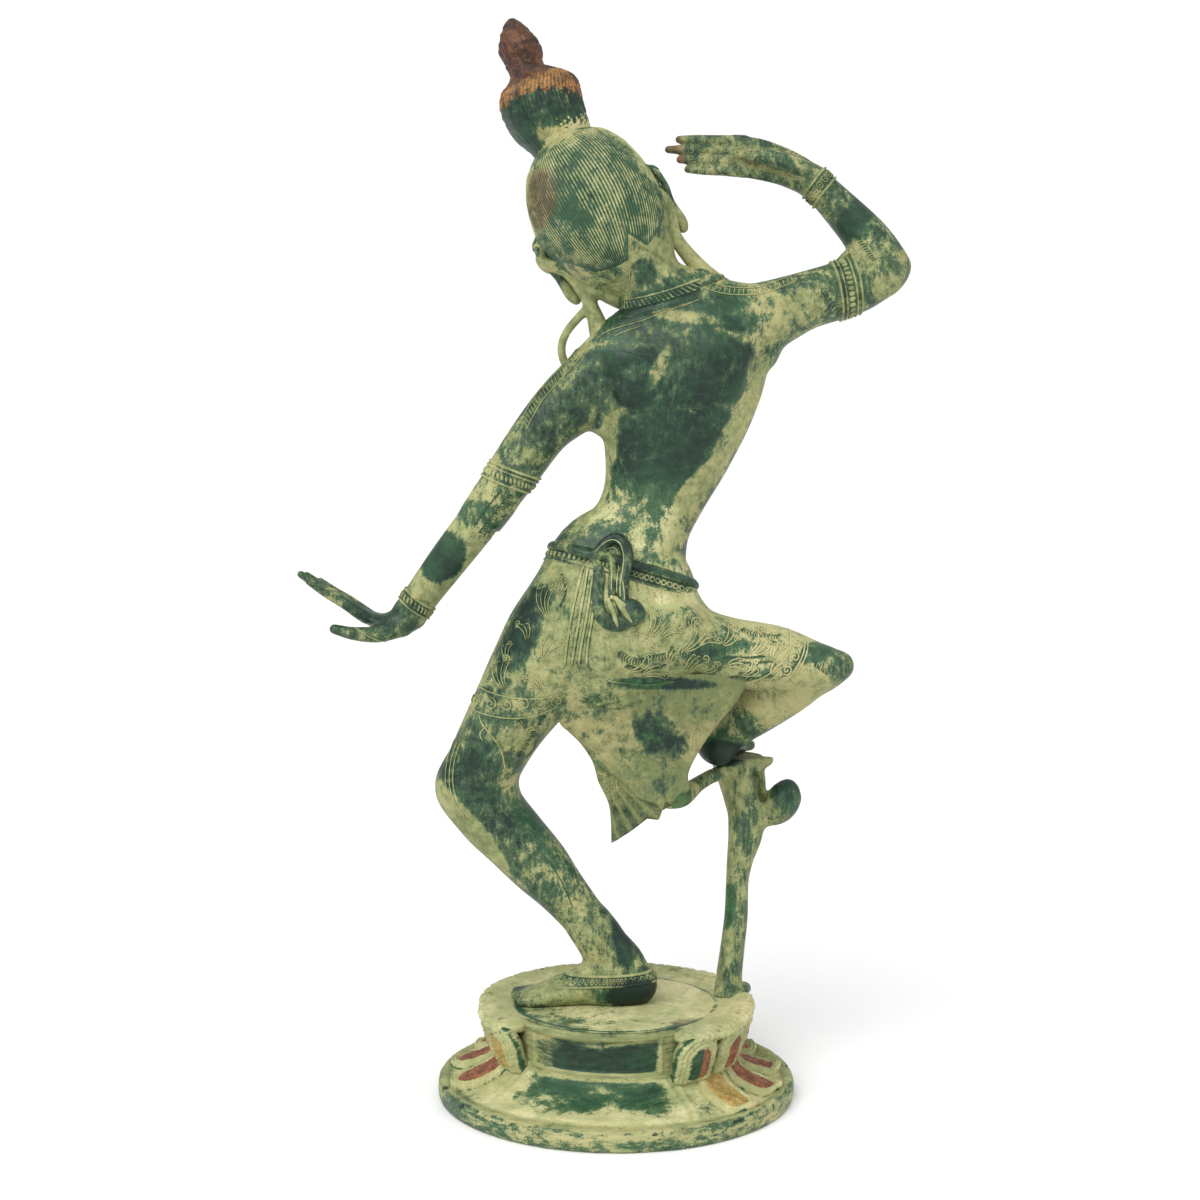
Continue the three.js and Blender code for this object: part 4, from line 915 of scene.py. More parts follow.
ring("bracelet_right", right_hand_wax, RIGHT_WRIST - RIGHT_WAY, (-0.78, 0.05, 0.6),
     edge_ring(-3.8, 3.9) * [1, 1.3], curl_detail(14, 0, 2.8), turns=260, widest=18)
ring("anklet", leg_wax, ANKLET, ANKLET_AXIS, edge_ring(-2.7, 2.6),
     curl_detail(44, 0, 2.1), turns=420, widest=32)


# The chased lines
# Thin raised lines on the skin, drawn in the wax as threads: the necklace's cord, the nape's lines, the
# braid on the left shoulder and the tick band on the right one. They are rubbed pale.

THREAD_CORNERS = 5
THREAD_CREST, THREAD_FOOT = 0.36, -0.42
lines = patina("line_patina", 0.2, -0.2)


def dropped(wax, flat, front=-60.0):
    """A flat curve of [right, up] points, carried along the front axis till it meets the skin, from behind,
    or from before with a positive front: its points there and the ways out of the skin."""
    flat = np.asarray(flat, float)
    starts = np.stack([flat[:, 0], np.full(len(flat), front), flat[:, 1]], -1)
    points = walk(wax, starts, (0, -np.sign(front), 0), 26)
    kept = np.abs(distance(wax, points)) < 0.3
    points = points[kept]
    return points, facing(wax, points) if len(points) else points


def curve(points, spacing=0.9):
    """A smooth curve of [right, up] through a few points."""
    return spline([[right, 0, up] for right, up in points], spacing)[:, [0, 2]]


def thread_mesh(name, threads, material=lines, girth=0.5):
    """One mesh of fine rods that lie half sunk along (points, ways out) curves: five corners round each
    point of a curve, thinned to half at the ends. The rods' crests are pale and their feet dark."""
    points, quads, caps, wash, count = [], [], [], [], 0
    angle = (np.arange(THREAD_CORNERS)[None, :, None] * 2 + 0.5) * math.pi / THREAD_CORNERS
    for path, out in threads:
        if len(path) < 4:
            continue
        along = unit(np.gradient(path, axis=0) + 1e-9)
        across = unit(np.cross(out, along) + 1e-9)
        order = np.arange(len(path))
        taper = np.clip(np.minimum(order, order[::-1]) / 4 + 0.45, 0, 1)[:, None, None]
        ways = np.cos(angle) * across[:, None] + np.sin(angle) * out[:, None]
        own, groups = skin_of(path[:, None] + girth * taper * ways)
        groups = turned_out(own - own.mean(0), groups)
        points.append(own)
        edge = np.where(np.sin(angle[0, :, 0]) > 0.9, THREAD_CREST, THREAD_FOOT)
        wash.append(np.concatenate([np.tile(edge, len(path)), np.zeros(2)]))
        quads.append(groups[0] + count)
        caps.append(groups[1] + count)
        count += len(own)
    new_mesh(name, np.vstack(points), [np.vstack(quads), np.vstack(caps)], material,
             {"wash": np.concatenate(wash), "tone": 0.05})


def ladder(wax, middle, half, pitch, lean=0.5, front=-60.0):
    """Two lines side by side with slanted ticks between them, along a [right, up] curve."""
    path = curve(middle, 0.8)
    along = unit(np.gradient(path, axis=0))
    across = np.stack([-along[:, 1], along[:, 0]], -1)
    made = [dropped(wax, path + side * half * across, front) for side in (-1, 1)]
    length = np.concatenate([[0], np.cumsum(np.linalg.norm(np.diff(path, axis=0), axis=1))])
    for at in np.arange(pitch, length[-1] - pitch / 2, pitch):
        spot, way, side = (np.array([np.interp(at, length, values[:, k]) for k in (0, 1)])
                           for values in (path, along, across))
        reach = np.linspace(-0.85, 0.85, 6)[:, None] * half
        made.append(dropped(wax, spot + reach * side + reach * lean * way, front))
    return made


threads = [dropped(trunk_wax, curve([(-8, 424.5), (-2, 427), (13, 431.1), (27, 436.5), (38, 440),
                                     (45, 443)])),
           dropped(trunk_wax, curve([(-1, 423), (5, 425.6), (14, 428.6)])),
           dropped(head_wax, curve([NAPE_APEX, (7.1, 466), (7, 458), (7, 450)])),
           dropped(head_wax, curve([NAPE_APEX, (13, 471.4), (19.6, 467.8), (26.1, 464.3)])),
           dropped(head_wax, curve([(13.5, 471.9), (19.6, 468.8), (25, 466.2)]))]
threads += ladder(trunk_wax, [(-14, 431), (-20.1, 416), (-30, 404.3), (-42.2, 390.6), (-52, 374)], 2.5, 2.3)
threads += ladder(trunk_wax, [(52, 450.5), (60, 448.6), (69, 448.2), (79.2, 449), (90.5, 453), (99, 456.5)],
                  2.2, 2.6, 0.2)

# The necklace in front, and its pendant of three rings
threads += ladder(trunk_wax, [(14, 431), (22, 420), (34, 414), (46, 420), (54, 433)], 2.4, 2.6, 0.2, 60.0)
for size in (1.6, 3.4, 5):
    drop = [(34 + 0.8 * size * math.sin(a), 407 - size * math.cos(a)) for a in np.linspace(0, 6.2, 9)]
    threads.append(dropped(trunk_wax, curve(drop), 60.0))

# A plain diadem in front, where the hair begins: two lines round the brow and short ticks between them
brow = np.radians(np.linspace(-74, 74, 120))
brow_up = np.arctan(0.88 * np.cos(brow)) - np.arcsin(0.31 / np.hypot(0.66 * np.cos(brow), 0.75))
DIADEM_HEIGHT, TICK_LOW, TICK_HIGH = 0.13, 0.02, 0.11


def on_brow(turn, rise):
    """A curve on the head, from the turns of its points about the head's upright axis and their rises, in
    radians: its points and the ways out of the skin."""
    ways = np.stack([np.sin(turn) * np.cos(rise), np.cos(turn) * np.cos(rise), np.sin(rise)], -1)
    inner = tilted(np.broadcast_to(hair_middle, ways.shape))
    outer = walk(head_wax, inner, tilted(ways + hair_middle) - inner, 46)
    return outer, facing(head_wax, outer)


threads += [on_brow(brow, brow_up - fall) for fall in (0, DIADEM_HEIGHT)]
threads += [on_brow(np.full(6, brow[k]), brow_up[k] - np.linspace(TICK_LOW, TICK_HIGH, 6))
            for k in range(0, 116, 4)]
thread_mesh("chased_lines", threads)


# The belt and the sash
# A roll of cloth over a band of rings on the left and of ticks on the right, and behind it a sash whose
# rolls loop over the belt and drop to a round tie with two pale tongues. All of it is cast with the body.

BELT_RINGS, BELT_TICKS = 64, 70
BELT_PROFILE = [[-9.6, -0.5], [-9, 0.5], [-8.3, 0.9], [-7.6, 0.3], [-2.9, 0.25], [-2.3, 1.3], [-1.2, 2.1],
                [0, 2.3], [1.3, 2], [2.4, 1], [2.9, -0.5]]
sash_patina = patina("sash_patina", -0.13, 0.0)


def belt_detail(angle, offset):
    """Rings on the left of the back, ticks on its right: the angle runs from the right by the front."""
    along = ((angle * BELT_RINGS / (2 * math.pi)) % 1 * 2 - 1) * 1.7
    from_middle = np.hypot(along, offset + 5.4)
    rings = np.exp(-((from_middle - 1.25) / 0.45) ** 2)
    ticks = 0.9 * row_of(angle, offset, BELT_TICKS, -4.6, 1.5, ridge=True)
    left = smooth(-np.cos(angle), -0.05, 0.05)
    return rings * left + ticks * (1 - left)


def belt_wash(angle, offset):
    """Dark, and darker on the roll of cloth and on the belt's lower edge."""
    return -0.1 - 0.14 * smooth(offset, -2.6, -1.6) - 0.14 * smooth(-offset, 7.2, 8)


ring("belt", trunk_wax, BELT_CENTRE, BELT_AXIS, BELT_PROFILE, belt_detail, widest=56, turns=460,
     wash=belt_wash, placed=False)


def sash_roll(rows, wax, lift):
    """One roll: rows of [right, up, half width, half depth], laid on the skin with a lift over it."""
    points, _ = dropped(wax, np.array(rows, float)[:, :2])
    return [[right, front - lift, up, wide, deep]
            for (right, front, up), (_, _, wide, deep) in zip(points, rows)]


sash = []
hip = wax_block((-44, -44, 238), (44, 0, 318), 1.0, trunk + legs)
for lift, melt, rows in (
        (1.2, 0.6, [(-33, 309, 2.4, 2.2), (-25, 306.6, 2.6, 2.4), (-17, 304, 2.6, 2.6),
                    (-11, 304.4, 2.8, 2.8), (-6.5, 309.4, 3, 3), (-1, 312.6, 3.2, 3.2),
                    (3.4, 310.4, 3.3, 3.4), (6, 304, 3.3, 3.4), (5.2, 296, 3.2, 3.2),
                    (3.6, 288, 3.2, 3), (3.4, 281, 3, 3)]),
        (0.8, 0.5, [(-13, 301.6, 2, 2), (-8, 303.6, 2.3, 2.2), (-3.6, 302, 2.4, 2.4), (-1.9, 296, 2.4, 2.4),
                    (-2.2, 288, 2.4, 2.2), (-2.6, 281, 2, 2)]),
        (0.4, 0.6, [(-10.6, 299, 2.6, 1.6), (-9.4, 292, 3.4, 1.8), (-10.4, 284, 3.6, 2),
                    (-10.2, 276, 3.8, 2.2), (-7, 269.4, 4, 2.4), (0, 266.4, 4.4, 2.6), (5, 268, 4, 2.6)]),
        (0.6, 1.5, [(4.4, 276, 5, 4), (7.6, 273, 7.4, 5.4), (9, 270.6, 7, 5)])):
    stroke(sash, sash_roll(rows, hip, lift), melt=melt, spacing=1)
cast("sash", wax_block((-40, -50, 258), (22, -8, 320), 0.5, sash), sash_patina, placed=False)

sash_wax = wax_block((-44, -50, 238), (44, 0, 320), 0.8, trunk + legs + sash)
threads = [dropped(sash_wax, curve(points)) for points in (
    [(-12, 304.8), (-7.4, 309.6), (-2, 311.9), (2, 309.6), (3.9, 303), (3.2, 295), (1.9, 287), (2, 281)],
    [(-6, 306.6), (-2, 307.6), (0.6, 305), (1, 298), (0.2, 290), (0, 283)],
    [(-9.6, 303.2), (-5.4, 303.9), (-3, 300.6), (-2.6, 294), (-3, 285)],
    [(3.2, 290), (4, 284), (4.2, 279)])]
thread_mesh("sash_lines", threads, girth=0.42)


def tongue(points, wide):
    """A pale tongue of cloth, a flat leaf that narrows to a point."""
    girths = np.sin(np.linspace(0.5, math.pi - 0.15, len(points))) * wide
    return [(right, up, girth + 0.3, 1.1) for (right, up), girth in zip(points, girths)]


tongues = []
for rows in (tongue([(-4.6, 280), (-3.6, 276.5), (-2, 272.5), (-0.6, 268.6), (0.6, 265)], 1.4),
             tongue([(-0.6, 280.5), (1.6, 277), (4, 273.4), (6, 270.4), (8.2, 267.6)], 1.25),
             [(-3, 281, 1.2, 0.9), (0.8, 279.4, 1.4, 0.9), (4.6, 276.6, 0.9, 0.7)]):
    stroke(tongues, sash_roll(rows, sash_wax, 0.2), melt=0.5, spacing=0.8)
cast("sash_tongues", wax_block((-12, -50, 260), (14, -24, 286), 0.4, tongues), lines)


# The skirt's borders and scrolls
# The skirt shows only by its raised lines: hems with curls between them above both knees, pleats beside the
# sash, claw-like fronds over the thighs, and fine dark scratches among them.

scratches = patina("scratch_patina", -0.9, 0)


def curl(middle, size, turns=1.6, start=0.0, way=1):
    """A flat spiral that winds in from its start to its middle: the radius falls evenly while it turns."""
    share = np.linspace(0, 1, int(16 * turns))
    angle = start + way * turns * 2 * math.pi * share
    radius = size * (1 - 0.9 * share)
    return np.stack([middle[0] + radius * np.cos(angle), middle[1] + radius * np.sin(angle)], -1)


def bow(a, b, rise, count=12):
    """An arc between two points: a straight line plus a parabola across it, as high as the rise."""
    a, b = np.array(a, float), np.array(b, float)
    share = np.linspace(0, 1, count)[:, None]
    across = np.array([-(b - a)[1], (b - a)[0]]) / np.linalg.norm(b - a)
    return a + (b - a) * share + 4 * rise * share * (1 - share) * across


def frond(middle, size, lean, claws=4, turned=1):
    """Claws side by side that close together at their foot, each with a small hook, under one curl."""
    parts = [curl((0.5 * turned, 1.0), 0.36, 1.4, -1.6, turned)]
    for k in range(claws):
        spread = (k - (claws - 1) / 2) / max(claws - 1, 1)
        head, foot = (spread * 1.3, 0.75 - 0.2 * abs(spread)), (spread * 0.3 - 0.15, -1.0)
        parts.append(bow(foot, head, 0.22 * turned, 14))
        parts.append(bow(head, (head[0] + 0.3 * turned, head[1] + 0.16), 0.12, 6))
    c, s = math.cos(math.radians(lean)), math.sin(math.radians(lean))
    turn = np.array([[c, s], [-s, c]])
    return [np.array(middle) + size / 2 * part @ turn for part in parts]


def hatched(outline, count, length, lean):
    """Short strokes set out along a curve."""
    path = curve(outline, 0.5)
    spots = path[np.linspace(0, len(path) - 1, count).astype(int)]
    way = length / 2 * np.array([math.cos(math.radians(lean)), math.sin(math.radians(lean))])
    return [bow(spot - way, spot + way, 0.25 * length, 8) for spot in spots]


raised = [curve(points) for points in (
    # Hems of the standing leg, with curls between them and a vine below
    [(-80, 231), (-75.4, 229), (-66, 226.4), (-56, 224.8), (-47, 224.4), (-36, 225.6), (-27, 228.6)],
    [(-81.5, 218), (-77, 216), (-66, 214), (-56, 213.4), (-51, 213.8), (-43, 215.4), (-34, 219)],
    [(-76, 214.5), (-74.4, 210), (-69.3, 203.8), (-65, 198), (-63, 192), (-62, 184)],
    [(-72.6, 208), (-75.4, 204), (-74, 200.6)], [(-66.4, 200.6), (-63, 203), (-60, 201)],
    # Two edges of the knee's border on the raised leg
    [(96.4, 262), (96.4, 255.6), (94.6, 249.6), (90, 243.6), (84.5, 238.6), (78, 235), (69, 232.4),
     (60, 231.4)],
    [(105, 257.6), (103.4, 250.6), (100, 243.4), (95.6, 236.6), (90, 231), (83.5, 226.4)],
    [(106.6, 256.6), (105, 249.6), (101.6, 242.4), (97.4, 235.8)],
    # Folds on the seat
    [(-6, 236), (-1, 234.6), (7.4, 233.6), (18.5, 232.6), (30, 234), (44, 233.4), (60, 230)])]
# Curls between the hems and along the knee's border, fronds over both thighs, and a line down the shin
for i in range(6):
    raised.append(curl((-78.6 + 9.2 * i, 221.4 - 0.5 * i + 0.16 * i * i), 3.6, 1.5, 0.8 + 0.7 * i,
                       1 - 2 * (i % 2)))
for i, (right, up) in enumerate([(99.6, 255), (98, 247.4), (93.6, 240.4), (87.4, 234), (79, 230.6)]):
    raised.append(curl((right, up), 3.1, 1.5, 2.0 + i, 1 - 2 * (i % 2)))
for right, up, size, lean, claws, turned in (
        (-38, 279, 13, 8, 4, 1), (-30, 286, 7, -20, 3, -1), (-35.6, 253, 11, -30, 3, 1),
        (-62.5, 237.6, 13, 16, 4, 1), (-50, 262, 8, 20, 3, -1), (-60, 250, 7, 10, 3, 1),
        (-22.5, 262, 6, 0, 3, 1), (-45, 234, 8, 40, 3, -1), (20.5, 266, 12, -24, 4, -1),
        (29, 262, 9, -50, 3, 1), (42, 258, 14, -34, 4, -1), (50, 256.6, 9, -60, 3, 1),
        (62, 258, 9, -40, 3, -1), (79, 254, 12, -40, 4, -1), (88, 250, 8, -20, 3, 1),
        (14, 242.6, 10, -60, 3, -1), (20, 238.6, 10, -70, 4, 1), (42.6, 243, 11, -28, 4, 1),
        (52, 240, 8, -70, 3, -1), (66, 243, 9, -80, 3, 1), (74, 240, 8, -50, 3, -1), (88, 241, 7, -30, 3, 1),
        (30, 249, 7, -10, 3, 1)):
    raised += frond((right, up), 1.2 * size, lean, claws, turned)
for offset in (0, 2.3, 4.4):
    raised.append(curve([(-91 + offset, 199), (-94.6 + offset, 188), (-95.4 + offset, 176),
                         (-92.6 + offset, 165), (-86.6 + offset, 156)]))
thread_mesh("skirt_scrolls", [dropped(leg_wax, flat) for flat in raised], girth=0.62)

# Pleats beside the sash
pleats = [curve(points) for points in (
    [(-18, 298), (-19.8, 291), (-22.4, 280), (-25, 267), (-27, 254), (-28.4, 243)],
    [(-15.6, 297), (-17.2, 286), (-20, 270), (-22.4, 256), (-24.4, 244)],
    [(-12.8, 292), (-14.4, 281), (-16.8, 267), (-19.2, 254), (-20.6, 243)],
    [(-11.6, 281), (-13.4, 268), (-15.6, 255), (-16.4, 244)])]
thread_mesh("skirt_pleats", [dropped(leg_wax, flat) for flat in pleats], patina("pleat_patina", 0.12, 0.0),
            girth=1.05)

# Fine dark scratches on skirt, shin, arms and back: short strokes along an outline, and a few long ones
scratched = []
for outline, count, length, lean in (
        ([(2, 250), (10, 246), (20, 247.6), (30, 250)], 20, 4.4, 60),
        ([(6, 243), (16, 240), (26, 243)], 18, 4, 20),
        ([(30, 253), (38, 250), (48, 249.6), (56, 250)], 18, 4, 75),
        ([(60, 247), (70, 246.4), (80, 247)], 14, 5, 5), ([(62, 244), (72, 243.6), (84, 244)], 14, 5, 8),
        ([(64, 236), (76, 235), (86, 237)], 20, 3.4, 40), ([(-30, 292), (-27, 284), (-30, 276)], 16, 3, 80),
        ([(-53, 212), (-44, 200), (-49, 190)], 20, 3, 30),
        ([(-40, 214), (-47, 202), (-55, 190)], 24, 2.6, -20), ([(70, 262), (80, 259), (90, 258)], 16, 3, 50),
        ([(92, 236), (99, 243), (104, 252)], 18, 3, 20), ([(110, 243), (117, 238)], 8, 3, 80)):
    scratched += hatched(outline, count, length, lean)
scratched += [curve([(-66, 111), (-56, 105), (-44, 99), (-36, 92)]),
              curve([(-58, 103), (-47, 97), (-38, 87)]), curve([(-37, 132), (-30, 120), (-24, 106)])]
leg_scratches = [dropped(leg_wax, flat) for flat in scratched]
arm_scratches = []
for outline, count, length, lean in (
        ([(-59, 336), (-68, 325), (-76, 315)], 22, 3, 0), ([(-64, 338), (-72, 328), (-78, 320)], 16, 3, 70),
        ([(116, 446), (124, 438), (128, 446)], 12, 3, 40),
        ([(134, 480), (139, 472), (143, 466)], 12, 2.6, 20)):
    arm_scratches += [dropped(trunk_wax, flat) for flat in hatched(outline, count, length, lean)]
for points in ([(-4, 359), (-1, 349), (3, 338)], [(0, 356), (5, 345), (8, 336)],
               [(8, 346), (10.6, 340), (12, 333)], [(2, 415), (12, 412), (20, 411)],
               [(30, 386), (42, 390), (50, 391)]):
    arm_scratches.append(dropped(trunk_wax, curve(points)))
thread_mesh("scratched_lines", leg_scratches + arm_scratches, scratches, girth=0.33)

# Fine curls on the raised hand, a seam along the lowered one, and ticks over the ankle
hand_curls = [curl((43 + 4.9 * i + 1.3 * math.sin(3 * i + 5 * j), 534 - 3.9 * j + 0.8 * math.sin(7 * i)),
                   1.6 + 0.5 * math.sin(5 * i + j), 1.3, 2 * i + j, 1 - 2 * ((i + j) % 2))
              for i in range(6) for j in range(4)]
hand_curls += [curve([(86, 531.4), (94, 529.4), (102, 526.4)])]
thread_mesh("hand_curls", [dropped(right_hand_wax, flat) for flat in hand_curls], girth=0.34)
thread_mesh("hand_seam",
            [dropped(left_hand_wax, curve([(-149, 263.8), (-143, 260), (-135, 255.8), (-126, 253)]))],
            girth=0.5)
thread_mesh("ankle_ticks", ladder(leg_wax, [(-5, 97), (-7, 86), (-8, 74)], 1.3, 2.0, 0.2), girth=0.3)

# A plainer drawing of the hems and fronds in front
front_lines = [curve([(-30, 262), (-10, 256), (8, 262)]), curve([(-84, 228), (-62, 222), (-40, 226)]),
               curve([(-86, 217), (-62, 211), (-42, 215)])]
for right, up, size, lean in ((-50, 262, 12, 16), (-62, 240, 11, 16), (40, 262, 12, -30), (62, 256, 11, -30),
                              (84, 250, 10, -30), (-30, 240, 11, 10)):
    front_lines += frond((right, up), size, lean, 4, 1)
thread_mesh("front_scrolls", [dropped(leg_wax, flat, 70.0) for flat in front_lines], girth=0.44)


# The hanging cloth
# The loose end of the skirt, cast as one sheet between the legs. Its lower corner is turned over in small
# pleats, and its hem is ragged.

CLOTH_TOP = [(-40, 240), (-10, 238), (30, 238), (74, 238)]
CLOTH_LEFT = [(-40, 240), (-37, 224), (-31.3, 209.6), (-26.9, 205), (-19.6, 197.5), (-13, 187), (-10, 176.3),
              (-3.8, 162), (-2.6, 142)]
CLOTH_RIGHT = [(74, 238), (68, 224), (55.7, 207.8), (46.8, 194.2), (40.6, 181), (41, 172), (36, 165.6)]
CLOTH_HEM = [(-2.6, 142), (5.5, 146.8), (11.1, 150.7), (17.2, 155.6), (23.4, 155.1), (24.5, 158.6),
             (21, 162.6), (25.5, 164), (31, 164.4), (36, 165.6)]
TURNED_FOLD = [(-11, 185.6), (3.1, 176.4), (11.6, 167.6), (23.4, 163.4)]


def even(points, count):
    """A smooth curve through points, cut into equal lengths."""
    path = curve(points, 0.4)
    length = np.concatenate([[0], np.cumsum(np.linalg.norm(np.diff(path, axis=0), axis=1))])
    at = np.linspace(0, length[-1], count)
    return np.stack([np.interp(at, length, path[:, k]) for k in (0, 1)], -1)


# Inside its outline the sheet is the blend of its two sides, plus the blend of its top and hem, less the
# blend of its four corners. Over it lie soft waves, falls of cloth, and pleats in the turned corner.
across, down = 150, 170
s, t = np.linspace(0, 1, across)[None, :, None], np.linspace(0, 1, down)[:, None, None]
top, hem = even(CLOTH_TOP, across)[None], even(CLOTH_HEM, across)[None]
left, right = even(CLOTH_LEFT, down)[:, None], even(CLOTH_RIGHT, down)[:, None]
flat = (1 - t) * top + t * hem + (1 - s) * left + s * right
flat = flat - (1 - t) * ((1 - s) * top[:, :1] + s * top[:, -1:])
flat = flat - t * ((1 - s) * hem[:, :1] + s * hem[:, -1:])
right, up = flat[..., 0], flat[..., 1]
middle = np.interp(up, [143, 161, 174, 190, 205, 220, 240], [-8, -5, -4, -5, -8, -12, -15])
bulge = np.sin(math.pi * s[..., 0]) ** 0.5 * np.interp(up, [143, 190, 240], [1.0, 3.0, 5.0])
fold = curve(TURNED_FOLD, 0.4)
under_fold = np.interp(right, fold[:, 0], fold[:, 1]) - up
turned = smooth(under_fold, -0.5, 0.5) * smooth(right, -12, -9)
reach = np.hypot(right + 11, up - 187)
pleat = np.cos(np.arctan2(up - 187, right + 11) * 34) * smooth(reach, 12, 30) * turned
soft = 0.8 * np.sin((right * 0.9 + up * 0.35) / 7.5) * smooth(230 - up, 0, 30)
falls = np.cos((right + 0.5 * up - 100 + 4 * np.sin(up / 11)) / 3.1) * smooth(226 - up, 0, 22) * (1 - turned)
falls = falls * (0.45 + 0.5 * smooth(right, 18, 34))
both = np.stack([right, np.zeros_like(up), up], -1)
grain = 0.25 * lumps(both, 9, 21) + 0.15 * lumps(both, 3.5, 22)
behind = middle - 1.3 - bulge + 1.2 * turned - 0.8 * pleat + soft + grain - 0.55 * falls
before = middle + 1.3 + 0.4 * bulge + 0.5 * soft - 0.3 * grain
edge = np.minimum(np.minimum(s[..., 0], 1 - s[..., 0]) * across, (1 - t[..., 0]) * down)
behind = behind + (middle - behind) * (1 - np.sqrt(smooth(edge, -1, 3)))
before = before + (middle - before) * (1 - np.sqrt(smooth(edge, -1, 3)))
sections = np.concatenate([np.stack([right, behind, up], -1), np.stack([right, before, up], -1)[:, ::-1]],
                          axis=1)
height = np.concatenate([grain - 0.6 * falls - 1.2 * turned + 0.8 * pleat, grain[:, ::-1]], axis=1)
shade = 0.12 - 0.08 * smooth(170 - up, 0, 14) + 0.2 * pleat + 0.2 * smooth(s[..., 0], 0.86, 0.97)
shade = np.concatenate([shade - 0.08 * falls, np.full_like(grain, 0.1)], axis=1)
solid_mesh("hanging_cloth", sections, patina("cloth_patina", -0.07, 0.3), {
    "hollow": -0.5 * height, "wash": shade, "tone": -0.12})


# The lotus stem
# A piece of its own, cast and brazed to the plinth and to the raised foot: a stem that swells into a seed
# pod under the foot, with a bud on its right and a strut to the corner of the cloth.

STEM_FOOT, POD_TOP = (66, 20, 50.3), (73.5, 54, 183)
stem = []
stroke(stem, [[65, 18, 40, 9.5, 9.5], [65.4, 19, 58, 7.6, 8], [67.8, 22, 77, 7, 7.2], [70, 26, 94, 6.8, 6.8],
              [71, 31, 112, 6.6, 6.8], [73, 35, 125, 7.8, 7.4], [76.2, 39, 138, 10, 9],
              [77.6, 43, 152, 11.5, 10], [76, 46, 166, 11.5, 11]], melt=5)
stroke(stem, [[75.5, 47, 160, 10, 10], [74.5, 50, 171, 13.5, 16], [73.5, 54, 177, 15, 22]], melt=6)
stroke(stem, [[73.5, 38, 178.6, 13, 4], [73.5, 72, 178.6, 15, 4]], depth=(0, 0, 1), melt=4)
stroke(stem, [[81, 42, 150, 6.5], [90, 41, 151, 8], [96, 40.4, 154.6, 9.8], [99.5, 40, 160, 9.6],
              [101, 40, 164.5, 6.4]], melt=4)
stroke(stem, [[79, 46, 179, 5, 5], [85.5, 45, 181.4, 4.2, 4.2], [89.5, 45, 181.6, 3.8, 3.8]], melt=4)
stroke(stem, [[72, 47, 171, 5, 5], [60, 38, 174, 4.2, 4.2], [48, 24, 170.6, 4.4, 4.4], [38, 8, 166, 6, 5],
              [31, -2, 167, 7, 4.4]], melt=3.5)
stroke(stem, [[31, -3, 170, 9, 5], [33, -3, 175, 6, 4]], melt=3)
stroke(stem, [[82, 40, 172, 2, 3], [86, 40, 160, 2, 3]], melt=4, cut=True)
for right, front, up, size in ((65, 12, 50, 7), (70, 13, 50, 5.4), (60, 12, 49.6, 4), (73, 20, 50, 5),
                               (67, 8, 49.6, 4), (73, 12, 52, 3), (62, 14, 54, 3.6)):
    stroke(stem, [[right, front, up, size], [right + 1.5, front + 2, up + 1.6, size * 0.8]], melt=2.2,
           spacing=1.5)
stem_wax = wax_block((12, -18, 46), (116, 92, 196), 0.8, stem)
cast("lotus_stem_cast", stem_wax, patina("stem_patina", 0.09, 0.4, (1, 1, 0.6)),
     [(STEM_FOOT, (0, 0, -1), 70), (POD_TOP, (0, 0, 1), 46)], node="lotus_stem")


# The plinth
# One casting: a broad rim, a sloping apron and a drum under the disc that the figure stands on. A plain
# framed panel and a plain piece of apron face the back; lotus petals go round the rest.

DRUM_RADIUS, PLINTH_TOP, APRON_TOP, RIM_HEIGHT = 61.8, 50.0, 26.0, 11.0
PANEL_TURN = math.radians(258)
PANEL_HALF = math.radians(38)
PANEL_WIDE, PANEL_UP, PANEL_TALL = 36.5, 37.4, 9.2
APRON_WIDE, APRON_TAPER = 59, 22
DISC_RADIUS = 59
PLINTH_AROUND, PLINTH_STEP = 620, 0.95
PETALS = 12
PETAL_PITCH = (2 * math.pi - 2 * PANEL_HALF) / PETALS
UNDER_EDGE, DISC_EDGE = 2, 21
PLINTH_PROFILE = [(0, 0), (60, 0), (98, 0), (99.8, 1), (100.2, 4), (100, 8.6), (99, 10.4), (97, 11),
                  (95.4, 10.8), (91, 12), (80, 15.2), (72, 18.6), (66, 22.6), (62.6, 26), (61.9, 29),
                  (61.8, 38), (62, 46), (62.6, 48.4), (61.8, 49.8), (60, 50.2), (59, 49.6), (58, 50),
                  (30, 50), (0, 50)]


def off_panel(angle):
    """How far an angle is turned from the middle of the panel, from -pi to pi."""
    return (angle - PANEL_TURN + math.pi) % (2 * math.pi) - math.pi


def plinth_points(angle, radius, up):
    """Points in the figure's frame from an angle, a radius and a height."""
    return np.stack(np.broadcast_arrays(radius * np.cos(angle), radius * np.sin(angle), up), -1)


def sag(angle, radius):
    """How far the apron sinks on the right, and a little on the left: a bump across it from drum to rim."""
    across = smooth(radius, 63, 74) * smooth(97 - radius, 0, 10)
    return across * (5.5 * smooth(np.cos(angle), 0.2, 0.9) + 1.5 * smooth(-np.cos(angle), 0.4, 0.9))


def ridge_line(value, wide):
    """A round ridge where the value is nought."""
    return np.exp(-(value / wide) ** 2)


